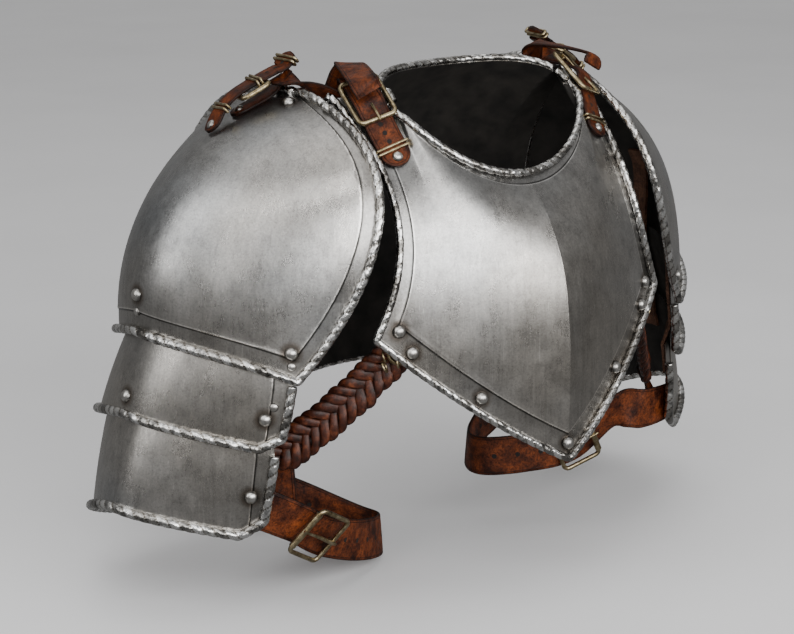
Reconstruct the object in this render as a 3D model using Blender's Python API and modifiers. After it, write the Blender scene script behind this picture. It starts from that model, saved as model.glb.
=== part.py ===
"""Pair of pauldrons on a breast plate and a back plate, strapped together as they are worn.

Metres, +Z up, +X to the wearer's left, -Y to the front.  The origin is in the middle of the
neck opening at shoulder height.
"""
import math

import bmesh
import bpy
import numpy as np
from mathutils import Matrix, Vector

# Steel sheet and its rolled edges
PLATE = 0.0015
ROLL_RADIUS = 0.0024
ROLL_TURN = math.radians(230)
ROLL_STEPS = 3
CONTACT = 0.0004

# Neck opening, and the shoulder seam from it to the tip of the shoulder
NECK_HALF_WIDTH = 0.090
NECK_HALF_DEPTH = 0.050
NECK_CENTRE_Y = -0.0065
NECK_DROP_FRONT = 0.056
NECK_RISE_BACK = 0.017
SEAM_ANGLE = math.radians(105)
SHOULDER_HALF_WIDTH = 0.121
SHOULDER_Y = 0.028
SHOULDER_RISE = 0.003
SEAM_GAP = 0.0018
# Share of the way from the middle to the tip of the shoulder where the neck opening ends
SEAM_SHARE = 0.82

# Breast plate and back plate
BREAST_HALF_WIDTH = 0.143
BREAST_DROP = 0.271
BREAST_FORWARD = 0.112
BACK_HALF_WIDTH = 0.140
BACK_DROP = 0.244
BACK_REACH = 0.140

# Pauldrons: dome and two lames, about a keel line over the top of the shoulder
PAULDRON_REACH = 0.268
PAULDRON_HALF_DEPTH = 0.105
KEEL_Y = 0.075
DOME_DROP = 0.164
LAME_LAP = 0.012
LAME_STEP = 0.0055
LAME_SHOW_GAP = 0.0045

# Leather
LEATHER = 0.0025
INNER_STRAP_WIDTH = 0.016
INNER_CUP = 0.0010
SHOULDER_STRAP_WIDTH = 0.022
PAULDRON_STRAP_WIDTH = 0.020
ARM_STRAP_WIDTH = 0.034
PLAIT_WIDTH = 0.030
PLAIT_DEPTH = 0.009
TAB_WIDTH = 0.020
TAB_CLEARANCE = 0.0038

# Buckles, rings and rivets
BUCKLE_BAR = 0.0032
BUCKLE_SEAT = 0.0007
ARM_BUCKLE_SEAT = {"right": 0.0022, "left": 0.0024}
BUCKLE_CLEARANCE = 0.0022
RIVET_RADIUS = 0.0048
RIVET_HEIGHT = 0.0032
RIVET_SIDES = 8
RING_RADIUS = 0.0085
RING_WIRE = 0.0014
# Radii of a buckle's outer and inner corners, in bars
BUCKLE_CORNERS = (1.6, 0.6)

# How far the middle of each arm strap's loop hangs below its ends, one for each arm
ARM_STRAP_SAG = {"right": 0.074, "left": 0.030}

SIDES = {"left": 1.0, "right": -1.0}

# Breast plate from its lower edge up to the neck.  Columns: half width, then the middle's and
# the edge's y, then the middle's and the edge's z.  Widths are shares of BREAST_HALF_WIDTH,
# y of BREAST_FORWARD and z of BREAST_DROP.
BREAST_ROWS = (
    (1.00, -1.000, -0.490, -1.000, -0.609),
    (0.81, -1.000, -0.560, -0.734, -0.409),
    (0.77, -1.125, -0.540, -0.469, -0.212),
)
# Back plate from its lower edge up, with the same columns, as shares of BACK_HALF_WIDTH,
# BACK_REACH and BACK_DROP
BACK_ROWS = (
    (1.00, 1.000, 0.540, -1.000, -0.960),
    (0.87, 1.200, 0.680, -0.640, -0.560),
    (0.83, 0.900, 0.620, -0.130, -0.200),
)
# Edge of a dome from its lower corner to its top, and its keel from the side to the top.
# Columns: x as a share of PAULDRON_REACH, distance from the keel line as a share of
# PAULDRON_HALF_DEPTH, and z as a share of DOME_DROP.
DOME_EDGE = (
    (0.739, 1.000, -1.177),
    (0.534, 1.238, -0.768),
    (0.455, 1.640, -0.159),
    (0.500, 0.240, 0.030),
)
DOME_KEEL = (
    (1.000, 0.0, -1.000),
    (1.046, 0.0, -0.219),
    (0.551, 0.0, -0.010),
    (0.478, 0.0, 0.020),
)
# Lower edge of each plate of a pauldron.  Columns: x and z at the side, x at the corners, z at
# the front and at the back corner, and how far each of the two is from the keel line.
LOWER_EDGES = (
    (1.000, -1.000, 0.739, -1.177, -1.177, 1.000, 1.000),
    (1.049, -1.384, 0.772, -1.518, -1.600, 0.886, 1.050),
    (1.100, -1.817, 0.802, -1.945, -2.110, 0.752, 0.970),
)
# Handles of a half section from the keel to an edge, as shares of the way in x, y and z
DOME_FRONT = ((0.00, 0.35, 0.10), (0.66, 0.88, 0.54))
DOME_BACK = ((0.00, 0.37, 0.12), (0.42, 0.86, 0.86))
LAME_FRONT = ((0.00, 0.30, 0.10), (0.60, 0.84, 0.60))
LAME_BACK = ((0.00, 0.40, 0.12), (0.38, 1.00, 0.80))
# How far the front and back corners of a lame are cut off, as a share of its height, and
# where along the half section the cut starts
CORNER_CUT = 0.22
CORNER_START = 0.86

# Rows of the plates' grids
BODY_GRID_ROWS = np.linspace(0, 1, 7)
DOME_GRID_ROWS = np.linspace(0, 1, 9)
LAME_GRID_ROWS = (0.0, 0.5, 1.0, 1.25)

STEEL = (0.42, 0.41, 0.40)
LEATHER_BROWN = (0.23, 0.075, 0.03)
BRASS = (0.50, 0.42, 0.27)


def clear_scene():
    """Remove whatever the file starts with."""
    for thing in list(bpy.data.objects):
        bpy.data.objects.remove(thing, do_unlink=True)


def make_material(name, colour, metallic, roughness):
    """A plain surface with one colour."""
    material = bpy.data.materials.new(name)
    material.use_nodes = True
    shader = material.node_tree.nodes["Principled BSDF"]
    shader.inputs["Base Color"].default_value = (*colour, 1.0)
    shader.inputs["Metallic"].default_value = metallic
    shader.inputs["Roughness"].default_value = roughness
    return material


# Curves and surfaces

def bezier(points, t):
    """Points of a cubic curve; each of the four control points may itself be an array."""
    a, b, c, d = [np.asarray(point, dtype=float) for point in points]
    t = np.asarray(t, dtype=float)[..., None]
    s = 1.0 - t
    return s**3 * a + 3 * s * s * t * b + 3 * s * t * t * c + t**3 * d


def smooth_route(points, count):
    """Evenly spread points on a smooth curve through the points given."""
    points = np.asarray(points, dtype=float)
    ends = np.vstack([2 * points[0] - points[1], points, 2 * points[-1] - points[-2]])
    spans = len(points) - 1
    fine = []
    for t in np.linspace(0, spans, 12 * spans + 1):
        k = min(int(t), spans - 1)
        f = t - k
        p0, p1, p2, p3 = ends[k:k + 4]
        fine.append(0.5 * (2 * p1 + (p2 - p0) * f + (2 * p0 - 5 * p1 + 4 * p2 - p3) * f**2
                           + (3 * p1 - p0 - 3 * p2 + p3) * f**3))
    fine = np.array(fine)
    steps = np.linalg.norm(np.diff(fine[:, :3], axis=0), axis=1)
    along = np.concatenate([[0], np.cumsum(steps)])
    wanted = np.linspace(0, along[-1], count)
    return np.stack([np.interp(wanted, along, fine[:, k]) for k in range(fine.shape[1])], -1)


def neck_point(angle):
    """The rim of the neck opening: 0 is the front, a half turn the back."""
    c, s = math.cos(angle), math.sin(angle)
    rise = (-NECK_DROP_FRONT + NECK_RISE_BACK) / 2 * c * c
    tilt = (-NECK_DROP_FRONT - NECK_RISE_BACK) / 2 * c
    return np.array([NECK_HALF_WIDTH * s, NECK_CENTRE_Y - NECK_HALF_DEPTH * c, rise + tilt])


def shoulder_tip():
    return np.array([SHOULDER_HALF_WIDTH, SHOULDER_Y, SHOULDER_RISE])


def body_top(share, start_angle):
    """Top edge of the breast or back plate: along the neck, then along the shoulder seam."""
    turn = min(share / SEAM_SHARE, 1.0)
    rim = neck_point(start_angle + (SEAM_ANGLE - start_angle) * turn)
    out = max(share - SEAM_SHARE, 0.0) / (1.0 - SEAM_SHARE)
    return rim + (shoulder_tip() - neck_point(SEAM_ANGLE)) * out


def body_surface(rows, sizes, start_angle, crease, seam_shift):
    """Surface of the breast or back plate: u from -1 to 1 across, v from 0, the bottom, to 1."""
    def place(u, v):
        share = abs(u)
        bow = crease * share + (1 - crease) * share**2
        fall = 0.7 * share + 0.3 * share**2
        handles = []
        for width, y_middle, y_edge, z_middle, z_edge in rows:
            handles.append(np.array([
                width * sizes[0] * share,
                (y_middle + (y_edge - y_middle) * bow) * sizes[1],
                (z_middle + (z_edge - z_middle) * fall) * sizes[2]]))
        handles.append(body_top(share, start_angle) + np.array([0, seam_shift, 0]))
        point = bezier(handles, v)
        return np.array([math.copysign(1.0, u) * point[0], point[1], point[2]])
    return place


breast_surface = body_surface(
    BREAST_ROWS, (BREAST_HALF_WIDTH, BREAST_FORWARD, BREAST_DROP), 0.0, 0.55, -SEAM_GAP / 2)
back_surface = body_surface(
    BACK_ROWS, (BACK_HALF_WIDTH, BACK_REACH, BACK_DROP), math.pi, 0.0, SEAM_GAP / 2)


def shoulder_point(row, side, toward=1.0):
    """A row of a pauldron table as a point; toward is -1 for the front and 1 for the back."""
    x, y, z = row
    return np.array([side * x * PAULDRON_REACH, KEEL_Y + toward * y * PAULDRON_HALF_DEPTH,
                     z * DOME_DROP])


def half_section(keel, edge, handles, share):
    """A point of a section of a pauldron between its keel and its edge."""
    way = edge - keel
    return bezier((keel, keel + way * handles[0], keel + way * handles[1], edge), share)


def dome_surface(side):
    """Surface of a dome: u is -1 at the front edge and 1 at the back, v is 0 at the bottom."""
    def place(u, v):
        toward = 1.0 if u > 0 else -1.0
        keel = bezier([shoulder_point(row, side) for row in DOME_KEEL], v)
        edge = bezier([shoulder_point(row, side, toward) for row in DOME_EDGE], v)
        handles = DOME_BACK if u > 0 else DOME_FRONT
        return half_section(keel, edge, handles, abs(u))
    return place


def lower_edge(index, side, toward, share):
    """Lower edge of the dome, 0, or of a lame, 1 or 2."""
    keel_x, keel_z, corner_x, front_z, back_z, front, back = LOWER_EDGES[index]
    keel = shoulder_point((keel_x, 0.0, keel_z), side)
    depth, corner_z = (back, back_z) if toward > 0 else (front, front_z)
    edge = shoulder_point((corner_x, depth, corner_z), side, toward)
    tables = (DOME_FRONT, DOME_BACK) if index == 0 else (LAME_FRONT, LAME_BACK)
    return half_section(keel, edge, tables[1] if toward > 0 else tables[0], share)


def inward(point, side, amount):
    """The point moved level towards the middle of the arm."""
    axis = np.array([side * PAULDRON_REACH * LOWER_EDGES[0][2], KEEL_Y, point[2]])
    way = axis - point
    return point + way / np.linalg.norm(way) * amount


def lame_surface(index, side):
    """Surface of a lame: v is 0 at the bottom, 1 where it goes under and 1.25 at its top."""
    def place(u, v):
        toward = 1.0 if u > 0 else -1.0
        share = abs(u)
        cut = CORNER_CUT * max(share - CORNER_START, 0.0) / (1.0 - CORNER_START)
        low = lower_edge(index, side, toward, share)
        cover = inward(lower_edge(index - 1, side, toward, share), side, LAME_STEP)
        under = cover - np.array([0, 0, LAME_SHOW_GAP])
        lap = inward(cover, side, LAME_STEP / 3) + np.array([0, 0, LAME_LAP])
        if v > 1.0:
            return under + (lap - under) * (v - 1.0) / 0.25
        height = v + (1.0 - v) * cut
        bulge = inward(low, side, -0.25 * LAME_STEP) - low
        return low + (under - low) * height + bulge * 4 * height * (1 - height)
    return place


def surface_normal(place, u, v, inside):
    """Unit normal of a surface, pointing away from the point inside."""
    step = 0.004
    du = place(u + step, v) - place(u - step, v)
    dv = place(u, v + step) - place(u, v - step)
    normal = np.cross(du, dv)
    normal = normal / np.linalg.norm(normal)
    return normal if np.dot(normal, place(u, v) - inside) > 0 else -normal


def body_columns():
    """Columns of the body plates: even along the neck, then two steps along the seam."""
    half = list(np.linspace(0, SEAM_SHARE, 8)) + list(np.linspace(SEAM_SHARE, 1, 3)[1:])
    return [-value for value in reversed(half[1:])] + half


def shoulder_columns():
    """Columns of a dome or lame, which lie closer together near the corners."""
    even = np.linspace(-1, 1, 15)
    return [math.copysign(abs(value)**0.85, value) for value in even]


def faceted(place, columns, rows):
    """The surface as the flat facets of its plate have it, to seat other pieces on."""
    def on_facet(u, v):
        i = min(max(int(np.searchsorted(columns, u)) - 1, 0), len(columns) - 2)
        j = min(max(int(np.searchsorted(rows, v)) - 1, 0), len(rows) - 2)
        a = (u - columns[i]) / (columns[i + 1] - columns[i])
        b = (v - rows[j]) / (rows[j + 1] - rows[j])
        low = place(columns[i], rows[j]) * (1 - a) + place(columns[i + 1], rows[j]) * a
        high = place(columns[i], rows[j + 1]) * (1 - a) + place(columns[i + 1], rows[j + 1]) * a
        return low * (1 - b) + high * b
    return on_facet


def chest_middle():
    return np.array([0.0, 0.02, -0.5 * BREAST_DROP])


def arm_middle(side):
    return np.array([side * 0.66 * PAULDRON_REACH, KEEL_Y, -DOME_DROP])


# Building solids

def add_object(name, data, material):
    """A new object of the part, with one material."""
    thing = bpy.data.objects.new(name, data)
    data.materials.append(material)
    PARTS.objects.link(thing)
    return thing


def shade(mesh):
    mesh.shade_smooth()
    mesh.set_sharp_from_angle(angle=math.radians(40))


def sheet_mesh(columns, rows, place, inside):
    """An open grid laid on a surface, with its vertices by column and row."""
    mesh_data = bmesh.new()
    last_column, last_row = len(columns) - 1, len(rows) - 1
    bmesh.ops.create_grid(mesh_data, x_segments=last_column, y_segments=last_row, size=1.0)
    grid = {}
    for vert in mesh_data.verts:
        i = round((vert.co.x + 1) / 2 * last_column)
        j = round((vert.co.y + 1) / 2 * last_row)
        grid[i, j] = vert
    for (i, j), vert in grid.items():
        vert.co = Vector(place(columns[i], rows[j]))
    mesh_data.normal_update()
    inside = Vector(inside)
    facing = sum(face.normal.dot(face.calc_center_median() - inside) * face.calc_area()
                 for face in mesh_data.faces)
    if facing < 0:
        bmesh.ops.reverse_faces(mesh_data, faces=mesh_data.faces[:])
        mesh_data.normal_update()
    return mesh_data, grid


def roll_edge(mesh_data, chain, closed=False):
    """Curl the open edge along a chain of vertices outwards into a rolled edge."""
    count = len(chain)
    frames = []
    for k, vert in enumerate(chain):
        before = chain[(k - 1) % count] if closed or k > 0 else vert
        after = chain[(k + 1) % count] if closed or k < count - 1 else vert
        normal = vert.normal.copy()
        tangent = (after.co - before.co).normalized()
        out = tangent.cross(normal).normalized()
        middle = sum((face.calc_center_median() for face in vert.link_faces), Vector())
        if out.dot(vert.co - middle / len(vert.link_faces)) < 0:
            out.negate()
        turn = 1.0
        if before is not vert and after is not vert:
            turn = (after.co - vert.co).normalized().dot((vert.co - before.co).normalized())
        widen = 1.0 / max(0.75, math.sqrt(max(0.0, (1 + turn) / 2)))
        frames.append((vert.co.copy(), out * widen, normal))
    current = list(chain)
    for step in range(1, ROLL_STEPS + 1):
        pairs = list(zip(current, current[1:] + current[:1] if closed else current[1:]))
        edges = [mesh_data.edges.get(pair) for pair in pairs]
        made = bmesh.ops.extrude_edge_only(mesh_data, edges=edges)["geom"]
        old = set(current)
        partner = {}
        for vert in (item for item in made if isinstance(item, bmesh.types.BMVert)):
            for edge in vert.link_edges:
                if edge.other_vert(vert) in old:
                    partner[edge.other_vert(vert)] = vert
        angle = ROLL_TURN * step / ROLL_STEPS
        current = [partner[vert] for vert in current]
        for vert, (origin, out, normal) in zip(current, frames):
            vert.co = origin + (out * math.sin(angle)
                                + normal * (1 - math.cos(angle))) * ROLL_RADIUS


def finish_sheet(name, mesh_data, thickness, material):
    """Turn an open surface into a solid sheet."""
    mesh = bpy.data.meshes.new(name)
    mesh_data.to_mesh(mesh)
    mesh_data.free()
    shade(mesh)
    thing = add_object(name, mesh, material)
    solid = thing.modifiers.new("Thickness", "SOLIDIFY")
    solid.thickness = thickness
    solid.offset = 0.0
    solid.use_even_offset = True
    return thing


def strap_line(route, normals, count):
    """Stations of a strap: its centre, the direction across it and its outer normal."""
    both = smooth_route(np.hstack([route, normals]), count)
    centre, normal = both[:, :3], both[:, 3:]
    tangent = np.gradient(centre, axis=0)
    across = np.cross(tangent, normal)
    across /= np.linalg.norm(across, axis=1)[:, None]
    normal = np.cross(across, tangent)
    normal /= np.linalg.norm(normal, axis=1)[:, None]
    return centre, across, normal


def ribbon(name, line, width, material, thickness=LEATHER, round_start=True, round_end=True,
           cup=0.0):
    """A strap along its stations, with rounded ends and its edges bent in by cup."""
    centre, across, normal = line
    length = np.concatenate([[0], np.cumsum(np.linalg.norm(np.diff(centre, axis=0), axis=1))])

    def half_width(k):
        """Half the strap's width at a station, less near a rounded end."""
        reach = 1.0
        if round_start:
            reach = min(reach, length[k] / (width / 2))
        if round_end:
            reach = min(reach, (length[-1] - length[k]) / (width / 2))
        return width / 2 * max(0.45, math.sqrt(1 - (1 - reach)**2))

    def place(u, v):
        k = int(v)
        return centre[k] + across[k] * half_width(k) * u - normal[k] * cup * u * u

    mesh_data, grid = sheet_mesh((-1.0, 0.0, 1.0), range(len(centre)), place,
                                 (centre - normal)[len(centre) // 2])
    return finish_sheet(name, mesh_data, thickness, material)


def buckle_frame(name, line, stations, width, side_of_strap, seat, material):
    """A rectangular buckle whose end bars lie across a strap at two of its stations."""
    centre, across, normal = line
    first, last = stations
    start, end = centre[first], centre[last]
    long_way = Vector(end - start)
    across_way = Vector(across[(first + last) // 2])
    up_way = across_way.cross(long_way).normalized()
    across_way = long_way.cross(up_way).normalized()
    if up_way.dot(Vector(normal[first] + normal[last])) * side_of_strap < 0:
        up_way, across_way = -up_way, -across_way
    near_bars = (first, first + 1, last - 1, last)
    bow = max(up_way.dot(Vector(centre[k] - start)) for k in near_bars)
    lift = up_way * (bow + LEATHER / 2 + seat + BUCKLE_BAR / 2)
    half_long = long_way.length / 2 + BUCKLE_BAR / 2
    half_wide = width / 2 + BUCKLE_CLEARANCE + BUCKLE_BAR
    curve = bpy.data.curves.new(name, "CURVE")
    curve.dimensions = "2D"
    curve.fill_mode = "BOTH"
    curve.extrude = BUCKLE_BAR / 2
    for inset, corner in zip((0.0, BUCKLE_BAR), BUCKLE_CORNERS):
        spline = curve.splines.new("POLY")
        outline = rounded_rectangle(half_long - inset, half_wide - inset,
                                    corner * BUCKLE_BAR)
        spline.points.add(len(outline) - 1)
        for point, (x, y) in zip(spline.points, outline):
            point.co = (x, y, 0.0, 1.0)
        spline.use_cyclic_u = True
    thing = add_object(name, curve, material)
    axes = Matrix((long_way.normalized(), across_way, up_way)).transposed()
    thing.matrix_world = Matrix.Translation(Vector((start + end) / 2) + lift) @ axes.to_4x4()
    return thing


def rounded_rectangle(half_long, half_wide, corner):
    """Outline of a rectangle with quarter circles of two steps at its corners."""
    points = []
    for quarter, (x, y) in enumerate(((1, 1), (-1, 1), (-1, -1), (1, -1))):
        for step in range(3):
            angle = math.radians(90 * quarter + 45 * step)
            points.append((x * (half_long - corner) + corner * math.cos(angle),
                           y * (half_wide - corner) + corner * math.sin(angle)))
    return points


def rivet_mesh():
    """Half the section of a domed rivet head, from its top down to its flat underside."""
    mesh_data = bmesh.new()
    profile = ((0.0, RIVET_HEIGHT), (0.72 * RIVET_RADIUS, 0.70 * RIVET_HEIGHT),
               (RIVET_RADIUS, 0.0), (0.0, 0.0))
    verts = [mesh_data.verts.new((x, 0.0, z)) for x, z in profile]
    for pair in zip(verts, verts[1:]):
        mesh_data.edges.new(pair)
    mesh = bpy.data.meshes.new("rivet")
    mesh_data.to_mesh(mesh)
    mesh_data.free()
    return mesh


def rivet(name, mesh, seat, material):
    """A rivet head whose flat underside is at a seat: a point and the normal there."""
    point, normal = seat
    thing = bpy.data.objects.new(name, mesh)
    if not mesh.materials:
        mesh.materials.append(material)
    PARTS.objects.link(thing)
    turned = thing.modifiers.new("Turned", "SCREW")
    turned.angle = math.tau
    turned.steps = turned.render_steps = RIVET_SIDES
    turned.use_merge_vertices = True
    turned.merge_threshold = 0.0001
    thing.location = Vector(point)
    thing.rotation_mode = "QUATERNION"
    thing.rotation_quaternion = Vector(normal).to_track_quat("Z", "Y")
    return thing


# Plates

def body_plate(name, place, material):
    """Breast or back plate, rolled round the arms, the bottom and the neck."""
    columns = body_columns()
    rows = BODY_GRID_ROWS
    mesh_data, grid = sheet_mesh(columns, rows, place, chest_middle())
    last_column, last_row = len(columns) - 1, len(rows) - 1
    sides = [grid[0, j] for j in range(last_row, 0, -1)]
    sides += [grid[i, 0] for i in range(last_column + 1)]
    sides += [grid[last_column, j] for j in range(1, last_row + 1)]
    neck = [grid[i, last_row] for i in range(2, last_column - 1)]
    roll_edge(mesh_data, sides)
    roll_edge(mesh_data, neck)
    return finish_sheet(name, mesh_data, PLATE, material)


def dome_plate(name, side, material):
    """Top plate of a pauldron, rolled all round."""
    columns = shoulder_columns()
    rows = DOME_GRID_ROWS
    mesh_data, grid = sheet_mesh(columns, rows, dome_surface(side), arm_middle(side))
    last_column, last_row = len(columns) - 1, len(rows) - 1
    chain = [grid[i, 0] for i in range(last_column + 1)]
    chain += [grid[last_column, j] for j in range(1, last_row + 1)]
    chain += [grid[i, last_row] for i in range(last_column - 1, -1, -1)]
    chain += [grid[0, j] for j in range(last_row - 1, 0, -1)]
    roll_edge(mesh_data, chain, closed=True)
    return finish_sheet(name, mesh_data, PLATE, material)


def lame_plate(name, index, side, material):
    """One of the two lower plates, rolled where it shows."""
    columns = shoulder_columns()
    rows = LAME_GRID_ROWS
    mesh_data, grid = sheet_mesh(columns, rows, lame_surface(index, side), arm_middle(side))
    last_column = len(columns) - 1
    shown = 2
    chain = [grid[0, j] for j in range(shown, 0, -1)]
    chain += [grid[i, 0] for i in range(last_column + 1)]
    chain += [grid[last_column, j] for j in range(1, shown + 1)]
    roll_edge(mesh_data, chain)
    return finish_sheet(name, mesh_data, PLATE, material)


# Leathers

# Underside of a rivet head above the middle of the sheet
RIVET_SEAT = PLATE / 2 + 1.5 * CONTACT
# Middle of a strap that lies on a plate, above the middle of the sheet
STRAP_ON_PLATE = PLATE / 2 + CONTACT + LEATHER / 2
# The same for a strap that crosses a rolled edge
STRAP_ON_ROLL = 2 * ROLL_RADIUS + STRAP_ON_PLATE + CONTACT

# Shoulder strap from its riveted end on the breast plate back to its free end, and the strap
# of the back plate from the buckle to its riveted end.  Columns: plate, share across it,
# height on it from its lower edge, 0, to the seam, 1, and lift as a share of BUCKLE_LIFT.
BUCKLE_LIFT = 0.014
SHOULDER_FRONT = (
    ("breast", 0.893, 0.765, 0.01), ("breast", 0.903, 0.820, 0.06),
    ("breast", 0.910, 0.870, 0.24), ("breast", 0.910, 0.920, 0.50),
    ("breast", 0.908, 0.965, 0.78), ("back", 0.905, 0.985, 0.86),
    ("back", 0.905, 0.945, 0.72),
)
SHOULDER_BACK = (
    ("breast", 0.905, 0.955, 1.54), ("breast", 0.905, 0.985, 1.80),
    ("back", 0.905, 0.985, 1.92), ("back", 0.905, 0.955, 1.78), ("back", 0.905, 0.920, 1.33),
    ("back", 0.900, 0.880, 0.92), ("back", 0.895, 0.835, 0.60), ("back", 0.890, 0.790, 0.32),
    ("back", 0.885, 0.740, 0.10), ("back", 0.880, 0.690, 0.03),
)
# Lower strap of a pauldron.  First its end on the back plate, then its way over the dome's
# rolled edge.  Columns: height on the plate, share across it (on the dome the share of the
# half section behind the keel, on the back plate a share of the way to the dome's edge), and
# lift as a share of STRAP_ON_ROLL.
DOME_EDGE_REACH = DOME_KEEL[-1][0] * PAULDRON_REACH / SHOULDER_HALF_WIDTH
PAULDRON_LOWER_BACK = (
    (0.900, 0.737, 0.36), (0.925, 0.822, 0.42), (0.940, 0.888, 0.95), (0.955, 0.954, 1.95),
)
PAULDRON_LOWER_DOME = (
    (1.00, -0.18, 1.95), (0.96, -0.05, 1.42), (0.90, 0.03, 0.80), (0.82, 0.05, 0.44),
    (0.74, 0.06, 0.37), (0.68, 0.07, 0.37),
)
# The strap above it, from its end on the dome to its raised tip, with the same columns
PAULDRON_UPPER = (
    (0.58, 0.08, 0.38), (0.61, 0.08, 0.68), (0.66, 0.08, 1.48), (0.72, 0.07, 2.05),
    (0.80, 0.06, 2.28), (0.88, 0.05, 2.45), (0.95, 0.04, 2.62), (1.00, 0.03, 2.80),
)
TIP_RISE = 0.010
# Loop of an arm strap between the front and the back of the lower lame.  Columns: x as a
# share of PAULDRON_REACH, distance from the keel line as a share of PAULDRON_HALF_DEPTH, and
# how much of the strap's sag it has.
ARM_LOOP = (
    (0.690, -0.790, 0.25), (0.580, -0.750, 0.50), (0.440, -0.620, 0.72),
    (0.300, -0.420, 0.90), (0.205, -0.200, 1.00), (0.215, 0.010, 0.98),
    (0.300, 0.190, 0.82), (0.440, 0.360, 0.56), (0.600, 0.560, 0.28),
    (0.730, 0.740, 0.08),
)
# How much higher each arm's loop starts at its front, at the first stops of the table
ARM_STRAP_LIFT = {"right": (0.0, 0.0, 0.0), "left": (0.010, 0.020, 0.002)}
# Where the ends of the arm strap lie inside the lower lame, and how high up it
ARM_STRAP_ENDS = (0.62, 0.76, 0.90)
ARM_STRAP_HEIGHT = 0.30
ARM_STRAP_CLEARANCE = 0.0027
# Heights of the inner leathers' stops on each plate
INNER_ON_DOME = (0.26, 0.18)
INNER_ON_UPPER_LAME = (1.25, 1.0, 0.55)
INNER_ON_LOWER_LAME = (1.25, 1.0, 0.78)
# Inner leathers.  Columns: share of the half section, and clearance under the plates.
INNER_LEATHERS = {
    "front": (-0.86, 0.0014), "middle": (0.0, 0.0026), "back": (0.86, 0.0011),
}
# Underarm strap: where its ring is under the breast plate's corner, its end seen from the
# front corner of the upper lame, the way it faces and how far it hangs, and how far up its tab
# bows.  The shares are of the plait's depth, the way along it and the arm strap's width.
RING_U = 0.895
RING_V = 0.020
PLAIT_TUCK = 0.28
PLAIT_END = (-0.010, 0.020, -0.012)
PLAIT_FACING = (0.73, -0.65, 0.04)
PLAIT_STOPS = (0.35, 0.70)
PLAIT_SAG = 0.004
TAB_START = 0.04
TAB_BOW = 0.006
TAB_REACH = 0.30
# Stations along each strap's line
STRAP_STATIONS = 15
LOWER_STRAP_STATIONS = 14
UPPER_STRAP_STATIONS = 16
ARM_STRAP_STATIONS = 31
INNER_LEATHER_STATIONS = 13
PLAIT_STATIONS = 9
TAB_STATIONS = 8
# Stations of the straps that the end bars of their buckles lie across, and the station of the
# arm strap that the tab meets
SHOULDER_BUCKLE_STATIONS = (5, 11)
PAULDRON_BUCKLE_STATIONS = (6, 10)
TAB_STATION = {"right": 4, "left": 3}
ARM_BUCKLE_STATIONS = {"right": (5, 7), "left": (8, 10)}
# Rivets: share across the plate, towards the side on the body plates, and height on it
DOME_RIVETS = {"dome_front": (-0.86, 0.067), "dome_side": (0.0, 0.077),
               "dome_top": (-0.22, 0.870)}
UPPER_LAME_RIVETS = {"upper_lame_front": (-0.86, 0.42), "upper_lame_side": (0.03, 0.22)}
LOWER_LAME_RIVETS = {"lower_lame_front": (-0.885, 0.45)}
BREAST_RIVETS = {"breast_corner": (0.93, 0.09), "breast_corner_low": (0.85, 0.05),
                 "breast_edge": (0.50, 0.055)}
BREAST_POINT_RIVET = (0.0, 0.055)


def breast_point(u, v, lift):
    """A point lifted off the facets of the breast plate, with the normal there."""
    normal = surface_normal(breast_surface, u, v, chest_middle())
    return faceted(breast_surface, body_columns(), BODY_GRID_ROWS)(u, v) + normal * lift, normal


def back_point(u, v, lift):
    """The same for the back plate."""
    normal = surface_normal(back_surface, u, v, chest_middle())
    return faceted(back_surface, body_columns(), BODY_GRID_ROWS)(u, v) + normal * lift, normal


def dome_point(side, u, v, lift):
    """The same for a dome."""
    place = dome_surface(side)
    normal = surface_normal(place, u, v, arm_middle(side))
    return faceted(place, shoulder_columns(), DOME_GRID_ROWS)(u, v) + normal * lift, normal


def lame_point(index, side, u, v, lift):
    """The same for a lame."""
    place = lame_surface(index, side)
    normal = surface_normal(place, u, v, arm_middle(side))
    return faceted(place, shoulder_columns(), LAME_GRID_ROWS)(u, v) + normal * lift, normal


def shoulder_line(rows, side, count):
    """Stations of a strap over the shoulder seam."""
    point_on = {"breast": breast_point, "back": back_point}
    points, normals = [], []
    for plate, u, v, lift in rows:
        point, normal = point_on[plate](side * u, v, STRAP_ON_PLATE + lift * BUCKLE_LIFT)
        points.append(point)
        normals.append(normal)
    return strap_line(points, normals, count)


def inner_leather(name, side, u, clearance, material):
    """The hidden strap that carries the two lames of a pauldron."""
    depth = PLATE / 2 + clearance + LEATHER / 2
    stops = [dome_point(side, u, v, -depth) for v in INNER_ON_DOME]
    stops += [lame_point(1, side, u, v, -depth) for v in INNER_ON_UPPER_LAME]
    stops += [lame_point(2, side, u, v, -depth) for v in INNER_ON_LOWER_LAME]
    points, normals = zip(*stops)
    line = strap_line(points, normals, INNER_LEATHER_STATIONS)
    ribbon(name, line, INNER_STRAP_WIDTH, material, round_start=False, round_end=False,
           cup=INNER_CUP)


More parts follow.
